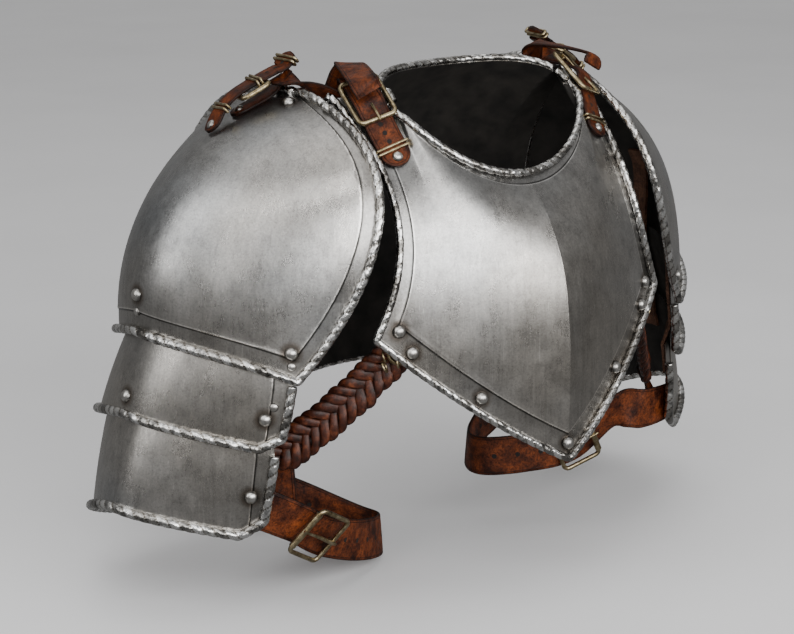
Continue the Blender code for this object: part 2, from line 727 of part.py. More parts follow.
def pauldron_straps(side_name, side):
    """The two straps and the buckle on top of a dome."""
    lower = [back_point(side * u * DOME_EDGE_REACH, v, STRAP_ON_ROLL * lift)
             for v, u, lift in PAULDRON_LOWER_BACK]
    lower += [dome_point(side, u, v, STRAP_ON_ROLL * lift)
              for v, u, lift in PAULDRON_LOWER_DOME]
    line = strap_line(*zip(*lower), LOWER_STRAP_STATIONS)
    ribbon(f"pauldron_strap_{side_name}", line, PAULDRON_STRAP_WIDTH, leather)
    upper = [dome_point(side, u, v, STRAP_ON_ROLL * lift) for v, u, lift in PAULDRON_UPPER]
    end, normal = upper[-1]
    upper.append((end + np.array([-side * TIP_RISE, 0, TIP_RISE]), normal))
    line = strap_line(*zip(*upper), UPPER_STRAP_STATIONS)
    ribbon(f"pauldron_billet_{side_name}", line, PAULDRON_STRAP_WIDTH, leather)
    buckle_frame(f"pauldron_buckle_{side_name}", line, PAULDRON_BUCKLE_STATIONS,
                 PAULDRON_STRAP_WIDTH, -1.0, BUCKLE_SEAT, brass)


def shoulder_straps(side_name, side):
    """The two straps and the buckle over a shoulder seam."""
    front = shoulder_line(SHOULDER_FRONT, side, STRAP_STATIONS)
    back = shoulder_line(SHOULDER_BACK, side, STRAP_STATIONS)
    ribbon(f"shoulder_strap_{side_name}", front, SHOULDER_STRAP_WIDTH, leather)
    ribbon(f"shoulder_chape_{side_name}", back, SHOULDER_STRAP_WIDTH, leather,
           round_start=False)
    buckle_frame(f"shoulder_buckle_{side_name}", front, SHOULDER_BUCKLE_STATIONS,
                 SHOULDER_STRAP_WIDTH, 1.0, BUCKLE_SEAT, brass)


def arm_line(side_name, side, count):
    """Stations of an arm strap from inside the lower lame's front round to its back."""
    depth = PLATE / 2 + ARM_STRAP_CLEARANCE + LEATHER / 2
    stops = [lame_point(2, side, -u, ARM_STRAP_HEIGHT, -depth) for u in ARM_STRAP_ENDS]
    middle = np.mean([row[:2] for row in ARM_LOOP], axis=0)
    level = stops[-1][0][2]
    lifts = ARM_STRAP_LIFT[side_name] + (0.0,) * (len(ARM_LOOP) - len(ARM_STRAP_LIFT[side_name]))
    for (x, y, sag), lift in zip(ARM_LOOP, lifts):
        point = np.array([side * x * PAULDRON_REACH, KEEL_Y + y * PAULDRON_HALF_DEPTH,
                          level - sag * ARM_STRAP_SAG[side_name] + lift])
        out = np.array([side * (x - middle[0]) * PAULDRON_REACH,
                        (y - middle[1]) * PAULDRON_HALF_DEPTH, 0.0])
        stops.append((point, out / np.linalg.norm(out)))
    stops += [lame_point(2, side, u, ARM_STRAP_HEIGHT, -depth) for u in reversed(ARM_STRAP_ENDS)]
    return strap_line(*zip(*stops), count)


def underarm_strap(side_name, side, arm):
    """The ring, the plaited strap and the tab between the breast plate and the arm strap."""
    corner_u, corner_v = side * RING_U, RING_V
    normal = surface_normal(breast_surface, corner_u, corner_v, chest_middle())
    corner = breast_surface(corner_u, corner_v)
    ring_middle = corner - normal * (PLATE / 2 + CONTACT + RING_WIRE)
    bpy.ops.mesh.primitive_torus_add(
        major_radius=RING_RADIUS, minor_radius=RING_WIRE, major_segments=12,
        minor_segments=5, location=ring_middle,
        rotation=Vector(normal).to_track_quat("Z", "Y").to_euler())
    ring = bpy.context.object
    ring.name = ring.data.name = f"underarm_ring_{side_name}"
    for collection in list(ring.users_collection):
        collection.objects.unlink(ring)
    PARTS.objects.link(ring)
    ring.data.materials.append(brass)
    ring.data.shade_smooth()

    start = corner - normal * (PLATE / 2 + 2 * CONTACT + 2 * RING_WIRE
                               + PLAIT_TUCK * PLAIT_DEPTH)
    lame_corner = lower_edge(1, side, -1.0, 1.0)
    mirrored = np.array([side, 1.0, 1.0])
    end = lame_corner + mirrored * PLAIT_END
    way = end - start
    facing = mirrored * PLAIT_FACING
    points = [start, *(start + way * stop - np.array([0, 0, PLAIT_SAG]) for stop in PLAIT_STOPS),
              end]
    line = strap_line(points, [normal, facing, facing, facing], PLAIT_STATIONS)
    plait = ribbon(f"underarm_plait_{side_name}", line, PLAIT_WIDTH, leather,
                   thickness=PLAIT_DEPTH)
    soft = plait.modifiers.new("Soft edges", "SUBSURF")
    soft.levels = soft.render_levels = 1

    centre, across, outward = arm
    station = TAB_STATION[side_name]
    seat = centre[station] - outward[station] * (LEATHER + TAB_CLEARANCE)
    top = end - way * TAB_START - facing * (PLAIT_DEPTH / 2 + LEATHER / 2 + 3 * CONTACT)
    points = [top, (top + seat) / 2 + np.array([0, 0, TAB_BOW]), seat,
              seat - np.array([0, 0, ARM_STRAP_WIDTH * TAB_REACH])]
    normals = [facing, facing, outward[station], outward[station]]
    line = strap_line(points, normals, TAB_STATIONS)
    ribbon(f"underarm_tab_{side_name}", line, TAB_WIDTH, leather)


# The part

clear_scene()
PARTS = bpy.data.collections.new("pauldron_pair")
bpy.context.scene.collection.children.link(PARTS)
steel = make_material("steel", STEEL, 1.0, 0.38)
leather = make_material("leather", LEATHER_BROWN, 0.0, 0.55)
brass = make_material("brass", BRASS, 1.0, 0.42)

body_plate("breast_plate", breast_surface, steel)
body_plate("back_plate", back_surface, steel)
head = rivet_mesh()
rivet("rivet_breast_point", head, breast_point(*BREAST_POINT_RIVET, RIVET_SEAT), steel)
for side_name, side in SIDES.items():
    dome_plate(f"dome_{side_name}", side, steel)
    lame_plate(f"upper_lame_{side_name}", 1, side, steel)
    lame_plate(f"lower_lame_{side_name}", 2, side, steel)
    for place_name, (u, clearance) in INNER_LEATHERS.items():
        inner_leather(f"inner_leather_{place_name}_{side_name}", side, u, clearance, leather)
    shoulder_straps(side_name, side)
    pauldron_straps(side_name, side)
    arm = arm_line(side_name, side, ARM_STRAP_STATIONS)
    ribbon(f"arm_strap_{side_name}", arm, ARM_STRAP_WIDTH, leather,
           round_start=False, round_end=False)
    buckle_frame(f"arm_buckle_{side_name}", arm, ARM_BUCKLE_STATIONS[side_name],
                 ARM_STRAP_WIDTH, 1.0, ARM_BUCKLE_SEAT[side_name], brass)
    underarm_strap(side_name, side, arm)
    seats = {name: dome_point(side, u, v, RIVET_SEAT) for name, (u, v) in DOME_RIVETS.items()}
    for index, rivets in enumerate((UPPER_LAME_RIVETS, LOWER_LAME_RIVETS), start=1):
        seats |= {name: lame_point(index, side, u, v, RIVET_SEAT)
                  for name, (u, v) in rivets.items()}
    seats |= {name: breast_point(side * u, v, RIVET_SEAT)
              for name, (u, v) in BREAST_RIVETS.items()}
    for place_name, seat in seats.items():
        rivet(f"rivet_{place_name}_{side_name}", head, seat, steel)
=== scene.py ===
"""Looks of a pair of pauldrons with their breast plate and back plate.

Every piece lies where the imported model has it.  Metres, +Z up, +X to the wearer's left, -Y to
the front, with the origin in the middle of the neck opening.
"""
import math

import bpy
import numpy as np
from mathutils import Matrix, Vector


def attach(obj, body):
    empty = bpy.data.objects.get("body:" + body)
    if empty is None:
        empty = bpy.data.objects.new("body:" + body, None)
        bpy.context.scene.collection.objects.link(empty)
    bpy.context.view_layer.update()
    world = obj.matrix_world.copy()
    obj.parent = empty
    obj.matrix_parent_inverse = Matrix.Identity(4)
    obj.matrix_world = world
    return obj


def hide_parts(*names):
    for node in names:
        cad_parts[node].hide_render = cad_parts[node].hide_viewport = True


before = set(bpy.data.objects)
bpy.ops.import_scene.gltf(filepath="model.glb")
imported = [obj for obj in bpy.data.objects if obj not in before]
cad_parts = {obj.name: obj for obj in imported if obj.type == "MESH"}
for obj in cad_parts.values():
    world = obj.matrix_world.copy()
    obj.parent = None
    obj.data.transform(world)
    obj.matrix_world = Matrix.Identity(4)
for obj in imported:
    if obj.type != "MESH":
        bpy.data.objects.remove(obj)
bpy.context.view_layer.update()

# Steel sheet and its rolled edges, and the space between pieces that lie on each other
PLATE = 0.0015
ROLL_RADIUS = 0.0024
CONTACT = 0.0004

# Neck opening, and the shoulder seam from it to the tip of the shoulder
NECK_HALF_WIDTH = 0.090
NECK_HALF_DEPTH = 0.050
NECK_CENTRE_Y = -0.0065
NECK_DROP_FRONT = 0.056
NECK_RISE_BACK = 0.017
SEAM_ANGLE = math.radians(105)
SHOULDER_HALF_WIDTH = 0.121
SHOULDER_Y = 0.028
SHOULDER_RISE = 0.003
SEAM_GAP = 0.0018
# Share of the way from the middle to the tip of the shoulder where the neck opening ends
SEAM_SHARE = 0.82

# Breast plate and back plate
BREAST_HALF_WIDTH = 0.143
BREAST_DROP = 0.271
BREAST_FORWARD = 0.112
BACK_HALF_WIDTH = 0.140
BACK_DROP = 0.244
BACK_REACH = 0.140

# Pauldrons: dome and two lames, about a keel line over the top of the shoulder
PAULDRON_REACH = 0.268
PAULDRON_HALF_DEPTH = 0.105
KEEL_Y = 0.075
DOME_DROP = 0.164
LAME_LAP = 0.012
LAME_STEP = 0.0055
LAME_SHOW_GAP = 0.0045

# Leather
LEATHER = 0.0025
SHOULDER_STRAP_WIDTH = 0.022
PAULDRON_STRAP_WIDTH = 0.020
ARM_STRAP_WIDTH = 0.034
PLAIT_DEPTH = 0.009
TAB_WIDTH = 0.020
TAB_CLEARANCE = 0.0038

# Buckles and rings
BUCKLE_BAR = 0.0032
BUCKLE_SEAT = 0.0007
ARM_BUCKLE_SEAT = {"right": 0.0022, "left": 0.0024}
BUCKLE_CLEARANCE = 0.0022
RING_RADIUS = 0.0085
RING_WIRE = 0.0014

# How far the middle of each arm strap's loop hangs below its ends, one for each arm
ARM_STRAP_SAG = {"right": 0.074, "left": 0.030}

SIDES = {"left": 1.0, "right": -1.0}

# Breast plate from its lower edge up to the neck.  Columns: half width, then the middle's and
# the edge's y, then the middle's and the edge's z.  Widths are shares of BREAST_HALF_WIDTH,
# y of BREAST_FORWARD and z of BREAST_DROP.
BREAST_ROWS = (
    (1.00, -1.000, -0.490, -1.000, -0.609),
    (0.81, -1.000, -0.560, -0.734, -0.409),
    (0.77, -1.125, -0.540, -0.469, -0.212),
)
# Back plate from its lower edge up, with the same columns, as shares of BACK_HALF_WIDTH,
# BACK_REACH and BACK_DROP
BACK_ROWS = (
    (1.00, 1.000, 0.540, -1.000, -0.960),
    (0.87, 1.200, 0.680, -0.640, -0.560),
    (0.83, 0.900, 0.620, -0.130, -0.200),
)
# Edge of a dome from its lower corner to its top, and its keel from the side to the top.
# Columns: x as a share of PAULDRON_REACH, distance from the keel line as a share of
# PAULDRON_HALF_DEPTH, and z as a share of DOME_DROP.
DOME_EDGE = (
    (0.739, 1.000, -1.177),
    (0.534, 1.238, -0.768),
    (0.455, 1.640, -0.159),
    (0.500, 0.240, 0.030),
)
DOME_KEEL = (
    (1.000, 0.0, -1.000),
    (1.046, 0.0, -0.219),
    (0.551, 0.0, -0.010),
    (0.478, 0.0, 0.020),
)
# Lower edge of each plate of a pauldron.  Columns: x and z at the side, x at the corners, z at
# the front and at the back corner, and how far each of the two is from the keel line.
LOWER_EDGES = (
    (1.000, -1.000, 0.739, -1.177, -1.177, 1.000, 1.000),
    (1.049, -1.384, 0.772, -1.518, -1.600, 0.886, 1.050),
    (1.100, -1.817, 0.802, -1.945, -2.110, 0.752, 0.970),
)
# Handles of a half section from the keel to an edge, as shares of the way in x, y and z
DOME_FRONT = ((0.00, 0.35, 0.10), (0.66, 0.88, 0.54))
DOME_BACK = ((0.00, 0.37, 0.12), (0.42, 0.86, 0.86))
LAME_FRONT = ((0.00, 0.30, 0.10), (0.60, 0.84, 0.60))
LAME_BACK = ((0.00, 0.40, 0.12), (0.38, 1.00, 0.80))
# How far the front and back corners of a lame are cut off, as a share of its height, and
# where along the half section the cut starts
CORNER_CUT = 0.22
CORNER_START = 0.86

# Height on a lame where its hidden lap ends, and the step that normals are taken over
LAME_TOP = 1.25
NORMAL_STEP = 0.004
# Shares of a body plate's fall and of the breast plate's bow, from the middle to the side, that
# grow evenly; the rest grows with the square
EVEN_FALL = 0.7
EVEN_BOW = 0.55
# How far a lame bulges, as a share of its step, and points inside the chest and the arms
LAME_BULGE = 0.25
CHEST_MIDDLE = (0.0, 0.02, -0.5 * BREAST_DROP)
ARM_MIDDLE_X = 0.66 * PAULDRON_REACH

# Rivets of the breast plate's one side.  Columns: share across it, height on it.
BREAST_STUDS = {
    "breast_corner": (0.93, 0.09), "breast_corner_low": (0.85, 0.05),
    "breast_edge": (0.50, 0.055),
}
BREAST_POINT_STUD = (0.0, 0.055)
# Rivets of a pauldron, and small ones beside them.  Columns: name, plate (dome 0, lames 1 and
# 2), share of the half section, height on the plate.
PAULDRON_STUDS = (
    ("dome_front", 0, -0.86, 0.067), ("dome_side", 0, 0.0, 0.077),
    ("dome_top", 0, -0.22, 0.870), ("upper_lame_front", 1, -0.86, 0.42),
    ("upper_lame_side", 1, 0.03, 0.22), ("lower_lame_front", 2, -0.885, 0.45),
)
SMALL_STUDS = (
    ("dome_front_low", 0, -0.905, 0.034), ("dome_side_low", 0, 0.0, 0.040),
    ("upper_lame_front_high", 1, -0.895, 0.60), ("dome_back_low", 0, 0.86, 0.067),
    ("upper_lame_back", 1, 0.86, 0.42), ("lower_lame_back", 2, 0.885, 0.45),
)
# Radius and height of each kind of rivet head
BIG_STUD = (0.0052, 0.0038)
SMALL_STUD = (0.0034, 0.0017)
SHOULDER_STUD = (0.0042, 0.0026)
PAULDRON_STUD = (0.0040, 0.0024)
# Section of a rivet head from its top to its rim, as shares of its radius and height
STUD_SECTION = (
    (0.02, 1.0), (0.25, 0.97), (0.48, 0.87), (0.68, 0.70), (0.84, 0.46), (0.95, 0.20),
    (1.0, 0.05), (1.0, -0.25),
)
STUD_SIDES = 24

# Widths of the plates' sunk borders, and the step at their inner edge with its ridge
BORDER = 0.0128
BREAST_BORDER = 0.0200
DOME_LOW_BORDER = 0.0155
NECK_BORDER = 0.0100
LAME_BORDER = 0.0140
STEP_WIDTH = 0.0006
STEP_DEPTH = 0.0008
STEP_LINES = (1.6, 0.5, -0.5, -1.6)
RIDGE_SHARE = 0.22
# Unevenness from hammering, and how far from an edge it starts
HAMMERED = 0.00010
HAMMERED_FADE = 0.02
# Extra rise of the breast plate's keel, its half width, and the heights where it comes and goes
KEEL_RISE = 0.0030
KEEL_REACH = 0.042
KEEL_RISES = (0.45, 0.75)
KEEL_FADES = (0.90, 0.99)
# Columns of half a plate and rows of a plate, and the table and rounds that place them
BODY_GRID = (68, 92)
DOME_GRID = (62, 100)
LAME_GRID = (62, 44)
TABLE = 161
GRID_ROUNDS = 4
EDGE_SHARES = np.linspace(0, 1, 161)
ACROSS_SHARES = np.linspace(-1, 1, 241)
# Way along a plate's front side, its lower edge and its back side, as pairs of u and v
OPEN_EDGE = [(-1, v) for v in EDGE_SHARES[::-1]] + [(u, 0) for u in ACROSS_SHARES[1:-1]]
OPEN_EDGE += [(1, v) for v in EDGE_SHARES]
# Roped edges: strand pitch, depth of the notches, and girth on the body plates and the lames
ROPE_SPACING = 0.0008
ROPE_SIDES = 12
ROPE_ROUNDS = 5
ROPE_RADIUS = 0.0036
ROPE_PITCH = 0.0088
ROPE_NOTCH = 0.18
BODY_GIRTH = 0.86
LAME_GIRTH = 1.08
# Wires of the buckles, their tongues and the loops on straps, and the loops' spare room
BUCKLE_WIRE = 0.0019
BUCKLE_CORNER = 0.0042
TONGUE_WIRE = 0.0016
EYE_WIRE = 0.0012
KEEPER_WIRE = 0.0011
KEEPER_BAND = 0.0034
LOOP_SPARE = (0.0012, 0.0010)
# A direction that no wire starts along, which its sides are laid out from
TUBE_GUIDE = np.array([0.31, 0.77, 0.56])
# Share of a strap next to each bar of its buckle that the buckle has to clear
BAR_SHARE = 0.03
# Tongue of a buckle: how far it reaches past the bar and rises there in wires, its bends along
# and above its heel, its middle and its tip, and its taper; then a roller's girth and inset
TONGUE_REACH = 0.004
TONGUE_RISE = 1.5
TONGUE_BENDS = ((-0.003, 0.0026), (0.0, 0.0022), (0.005, 0.0004))
TONGUE_TAPER = np.linspace(1.15, 0.65, 14)
ROLLER_GIRTH = 1.45
ROLLER_INSET = 0.004
# Plaits and their strands
PLAIT_PITCH = 0.046
PLAIT_STRANDS = 5
PLAIT_SWING = 0.0112
PLAIT_RISE = 0.0024
STRAND_HALF_WIDTH = 0.0040
STRAND_HALF_DEPTH = 0.0021
STRAND_SIDES = 12
STRAND_UNEVEN = 0.16
PLAIT_SHAKE = 0.0011

# Stage: floor, sky by height of the direction, and lights.  Columns of the lights: azimuth
# from the front and elevation in degrees, size in metres, radiance.
FLOOR_HEIGHT = -0.387
FLOOR_SIZE = 44.0
SKY_STOPS = ((0.0, 0.13), (0.25, 0.15), (0.60, 0.20), (0.85, 0.22), (0.92, 0.85), (1.0, 1.15))
SKY_STRENGTH = 1.4
LIGHT_TARGET = (0.0, 0.0, -0.15)
LIGHT_DISTANCE = 2.2
LIGHTS = {
    "key": (-9, 21, (3.0, 1.35), 5.1),
    "high": (-50, 49, (0.46, 0.56), 5.0),
    "strip": (-67, 30, (0.34, 1.8), 3.0),
    "side": (-95, 30, (0.80, 1.9), 2.4),
    "rim": (150, 40, (1.6, 0.8), 0.6),
}
# Camera: picture width and focal length in pixels, sensor and reach, turn and tilt in degrees
PHOTO_WIDTH = 794
CAMERA_FOCAL = 2236.8
SENSOR_WIDTH = 36.0
CAMERA_FAR = 60.0
CAMERA_TURN = 38.314
CAMERA_TILT = 14.65
CAMERA_EYE = (-1.1248, -1.3230, 0.2721)

# Curves and surfaces, which also take arrays of u and v


def unit(vectors):
    return vectors / np.linalg.norm(vectors, axis=-1, keepdims=True)


def running_length(points):
    """Length along a line at each of its points."""
    steps = np.linalg.norm(np.diff(points, axis=0), axis=1)
    return np.concatenate([[0], np.cumsum(steps)])


def bezier(points, t):
    """Points of a cubic curve; each of the four control points may itself be an array."""
    a, b, c, d = [np.asarray(point, dtype=float) for point in points]
    t = np.asarray(t, dtype=float)[..., None]
    s = 1.0 - t
    return s**3 * a + 3 * s * s * t * b + 3 * s * t * t * c + t**3 * d


def smooth_route(points, count):
    """Evenly spread points on a smooth curve through the points given."""
    points = np.asarray(points, dtype=float)
    ends = np.vstack([2 * points[0] - points[1], points, 2 * points[-1] - points[-2]])
    spans = len(points) - 1
    fine = []
    for t in np.linspace(0, spans, 12 * spans + 1):
        k = min(int(t), spans - 1)
        f = t - k
        p0, p1, p2, p3 = ends[k:k + 4]
        fine.append(0.5 * (2 * p1 + (p2 - p0) * f + (2 * p0 - 5 * p1 + 4 * p2 - p3) * f**2
                           + (3 * p1 - p0 - 3 * p2 + p3) * f**3))
    fine = np.array(fine)
    along = running_length(fine[:, :3])
    wanted = np.linspace(0, along[-1], count)
    return np.stack([np.interp(wanted, along, fine[:, k]) for k in range(fine.shape[1])], -1)


def neck_point(angle):
    """The rim of the neck opening: 0 is the front, a half turn the back."""
    c, s = np.cos(angle), np.sin(angle)
    rise = (-NECK_DROP_FRONT + NECK_RISE_BACK) / 2 * c * c
    tilt = (-NECK_DROP_FRONT - NECK_RISE_BACK) / 2 * c
    return np.stack([NECK_HALF_WIDTH * s, NECK_CENTRE_Y - NECK_HALF_DEPTH * c, rise + tilt], -1)


def body_top(share, start_angle):
    """Top edge of the breast or back plate: along the neck, then along the shoulder seam."""
    turn = np.minimum(share / SEAM_SHARE, 1.0)
    rim = neck_point(start_angle + (SEAM_ANGLE - start_angle) * turn)
    out = np.maximum(share - SEAM_SHARE, 0.0) / (1.0 - SEAM_SHARE)
    tip = np.array([SHOULDER_HALF_WIDTH, SHOULDER_Y, SHOULDER_RISE])
    return rim + (tip - neck_point(SEAM_ANGLE)) * out[..., None]


def body_surface(rows, sizes, start_angle, even_bow, seam_shift):
    """Surface of the breast or back plate: u from -1 to 1 across, v from 0, the bottom, to 1."""
    def place(u, v):
        u, v = np.broadcast_arrays(np.asarray(u, dtype=float), np.asarray(v, dtype=float))
        share = np.abs(u)
        bow = even_bow * share + (1 - even_bow) * share**2
        fall = EVEN_FALL * share + (1 - EVEN_FALL) * share**2
        handles = []
        for width, y_middle, y_edge, z_middle, z_edge in rows:
            handles.append(np.stack([
                width * sizes[0] * share,
                (y_middle + (y_edge - y_middle) * bow) * sizes[1],
                (z_middle + (z_edge - z_middle) * fall) * sizes[2]], -1))
        handles.append(body_top(share, start_angle) + np.array([0, seam_shift, 0]))
        point = bezier(handles, v)
        return point * np.stack([np.where(u < 0, -1.0, 1.0), 1 + 0 * u, 1 + 0 * u], -1)
    return place


breast_surface = body_surface(
    BREAST_ROWS, (BREAST_HALF_WIDTH, BREAST_FORWARD, BREAST_DROP), 0.0, EVEN_BOW, -SEAM_GAP / 2)
back_surface = body_surface(
    BACK_ROWS, (BACK_HALF_WIDTH, BACK_REACH, BACK_DROP), math.pi, 0.0, SEAM_GAP / 2)


def shoulder_point(row, side, toward=1.0):
    """A row of a pauldron table as a point; toward is -1 for the front and 1 for the back."""
    x, y, z = row
    return np.array([side * x * PAULDRON_REACH, KEEL_Y + toward * y * PAULDRON_HALF_DEPTH,
                     z * DOME_DROP])


def half_section(keel, edge, handles, share):
    """A point of a section of a pauldron between its keel and its edge."""
    way = edge - keel
    return bezier((keel, keel + way * handles[0], keel + way * handles[1], edge), share)


def behind(u, back, front):
    """The back value where u is behind the keel, and the front value elsewhere."""
    return np.where((np.asarray(u) > 0)[..., None], back, front)


def dome_surface(side):
    """Surface of a dome: u is -1 at the front edge and 1 at the back, v is 0 at the bottom."""
    def place(u, v):
        u, v = np.broadcast_arrays(np.asarray(u, dtype=float), np.asarray(v, dtype=float))
        keel = bezier([shoulder_point(row, side) for row in DOME_KEEL], v)
        halves = []
        for toward, handles in ((1.0, DOME_BACK), (-1.0, DOME_FRONT)):
            edge = bezier([shoulder_point(row, side, toward) for row in DOME_EDGE], v)
            halves.append(half_section(keel, edge, handles, np.abs(u)))
        return behind(u, *halves)
    return place


def lower_edge(index, side, u):
    """Lower edge of the dome, 0, or of a lame, 1 or 2."""
    keel_x, keel_z, corner_x, front_z, back_z, front, back = LOWER_EDGES[index]
    keel = shoulder_point((keel_x, 0.0, keel_z), side)
    tables = (DOME_BACK, DOME_FRONT) if index == 0 else (LAME_BACK, LAME_FRONT)
    halves = []
    for toward, depth, corner_z, handles in ((1.0, back, back_z, tables[0]),
                                             (-1.0, front, front_z, tables[1])):
        edge = shoulder_point((corner_x, depth, corner_z), side, toward)
        halves.append(half_section(keel, edge, handles, np.abs(u)))
    return behind(u, *halves)


def inward(point, side, amount):
    """The point moved level towards the middle of the arm."""
    axis = point * np.array([0.0, 0.0, 1.0])
    axis = axis + np.array([side * PAULDRON_REACH * LOWER_EDGES[0][2], KEEL_Y, 0.0])
    return point + unit(axis - point) * amount


def lame_surface(index, side):
    """Surface of a lame: v is 0 at the bottom, 1 where it goes under, then up to LAME_TOP."""
    def place(u, v):
        u, v = np.broadcast_arrays(np.asarray(u, dtype=float), np.asarray(v, dtype=float))
        cut = CORNER_CUT * np.maximum(np.abs(u) - CORNER_START, 0.0) / (1.0 - CORNER_START)
        low = lower_edge(index, side, u)
        cover = inward(lower_edge(index - 1, side, u), side, LAME_STEP)
        under = cover - np.array([0, 0, LAME_SHOW_GAP])
        lap = inward(cover, side, LAME_STEP / 3) + np.array([0, 0, LAME_LAP])
        height = (v + (1.0 - v) * cut)[..., None]
        bulge = inward(low, side, -LAME_BULGE * LAME_STEP) - low
        shown = low + (under - low) * height + bulge * 4 * height * (1 - height)
        hidden = under + (lap - under) * (v[..., None] - 1.0) / (LAME_TOP - 1.0)
        return np.where((v > 1.0)[..., None], hidden, shown)
    return place


def surface_normal(place, u, v, inside):
    """Unit normal of a surface, pointing away from the point inside."""
    du = place(u + NORMAL_STEP, v) - place(u - NORMAL_STEP, v)
    dv = place(u, v + NORMAL_STEP) - place(u, v - NORMAL_STEP)
    normal = unit(np.cross(du, dv))
    outward = np.sum(normal * (place(u, v) - inside), axis=-1, keepdims=True)
    return np.where(outward > 0, normal, -normal)


def chest_middle():
    return np.array(CHEST_MIDDLE)


def arm_middle(side):
    return np.array([side * ARM_MIDDLE_X, KEEL_Y, -DOME_DROP])


# Leathers

# Middle of a strap that lies on a plate, above the middle of the sheet
STRAP_ON_PLATE = PLATE / 2 + CONTACT + LEATHER / 2
# The same for a strap that crosses a rolled edge
STRAP_ON_ROLL = 2 * ROLL_RADIUS + STRAP_ON_PLATE + CONTACT
# Outer face of a strap above its middle, and how far a hole's disc lies above that
STRAP_TOP = LEATHER / 2 * 1.06
HOLE_LIFT = 0.0002
HOLE_SIDES = 14
# Section of a strap as shares of its half width and half thickness, and half its tip's width
STRAP_SECTION = (
    (-1.0, 0.0), (-0.975, 0.60), (-0.92, 0.93), (-0.80, 1.0), (-0.40, 1.04), (0.0, 1.06),
    (0.40, 1.04), (0.80, 1.0), (0.92, 0.93), (0.975, 0.60), (1.0, 0.0), (0.975, -0.60),
    (0.92, -0.95), (0.40, -1.0), (-0.40, -1.0), (-0.92, -0.95), (-0.975, -0.60),
)
STRAP_TIP = 0.12

# Shoulder strap from its riveted end on the breast plate back to its free end, and the strap
# of the back plate from the buckle to its riveted end.  Columns: plate, share across it,
# height on it from its lower edge, 0, to the seam, 1, and lift as a share of BUCKLE_LIFT.
BUCKLE_LIFT = 0.014
SHOULDER_FRONT = (
    ("breast", 0.893, 0.765, 0.01), ("breast", 0.903, 0.820, 0.06),
    ("breast", 0.910, 0.870, 0.24), ("breast", 0.910, 0.920, 0.50),
    ("breast", 0.908, 0.965, 0.78), ("back", 0.905, 0.985, 0.86),
    ("back", 0.905, 0.945, 0.72),
)
SHOULDER_BACK = (
    ("breast", 0.905, 0.955, 1.54), ("breast", 0.905, 0.985, 1.80),
    ("back", 0.905, 0.985, 1.92), ("back", 0.905, 0.955, 1.78), ("back", 0.905, 0.920, 1.33),
    ("back", 0.900, 0.880, 0.92), ("back", 0.895, 0.835, 0.60), ("back", 0.890, 0.790, 0.32),
    ("back", 0.885, 0.740, 0.10), ("back", 0.880, 0.690, 0.03),
)
# Lower strap of a pauldron.  First its end on the back plate, then its way over the dome's
# rolled edge.  Columns: height on the plate, share across it (on the dome the share of the
# half section behind the keel, on the back plate a share of the way to the dome's edge), and
# lift as a share of STRAP_ON_ROLL.
DOME_EDGE_REACH = DOME_KEEL[-1][0] * PAULDRON_REACH / SHOULDER_HALF_WIDTH
PAULDRON_LOWER_BACK = (
    (0.900, 0.737, 0.36), (0.925, 0.822, 0.42), (0.940, 0.888, 0.95), (0.955, 0.954, 1.95),
)
PAULDRON_LOWER_DOME = (
    (1.00, -0.18, 1.95), (0.96, -0.05, 1.42), (0.90, 0.03, 0.80), (0.82, 0.05, 0.44),
    (0.74, 0.06, 0.37), (0.68, 0.07, 0.37),
)
# The strap above it, from its end on the dome to its raised tip, with the same columns
PAULDRON_UPPER = (
    (0.58, 0.08, 0.38), (0.61, 0.08, 0.68), (0.66, 0.08, 1.48), (0.72, 0.07, 2.05),
    (0.80, 0.06, 2.28), (0.88, 0.05, 2.45), (0.95, 0.04, 2.62), (1.00, 0.03, 2.80),
)
TIP_RISE = 0.010
# Loop of an arm strap between the front and the back of the lower lame.  Columns: x as a
# share of PAULDRON_REACH, distance from the keel line as a share of PAULDRON_HALF_DEPTH, and
# how much of the strap's sag it has.
ARM_LOOP = (
    (0.690, -0.790, 0.25), (0.580, -0.750, 0.50), (0.440, -0.620, 0.72),
    (0.300, -0.420, 0.90), (0.205, -0.200, 1.00), (0.215, 0.010, 0.98),
    (0.300, 0.190, 0.82), (0.440, 0.360, 0.56), (0.600, 0.560, 0.28),
    (0.730, 0.740, 0.08),
)
# How much higher each arm's loop starts at its front, at the first stops of the table
ARM_STRAP_LIFT = {"right": (0.0, 0.0, 0.0), "left": (0.010, 0.020, 0.002)}
# Where the ends of the arm strap lie inside the lower lame, and how high up it
ARM_STRAP_ENDS = (0.62, 0.76, 0.90)
ARM_STRAP_HEIGHT = 0.30
ARM_STRAP_CLEARANCE = 0.0027
# Shares of the straps' ways that the end bars of their buckles lie across, and the share of
# the arm strap that the tab meets
SHOULDER_BUCKLE_SHARES = (5 / 14, 11 / 14)
PAULDRON_BUCKLE_SHARES = (6 / 15, 10 / 15)
ARM_BUCKLE_SHARES = {"right": (5 / 30, 7 / 30), "left": (8 / 30, 10 / 30)}
TAB_SHARE = {"right": 4 / 30, "left": 3 / 30}
# How much wider than its solid a strap is drawn, and how many stations it has
SHOULDER_OVER = 0.002
CHAPE_OVER = 0.001
PAULDRON_OVER = 0.001
STATIONS = 90
LOWER_STATIONS = 80
ARM_STATIONS = 220
TAB_STATIONS = 40
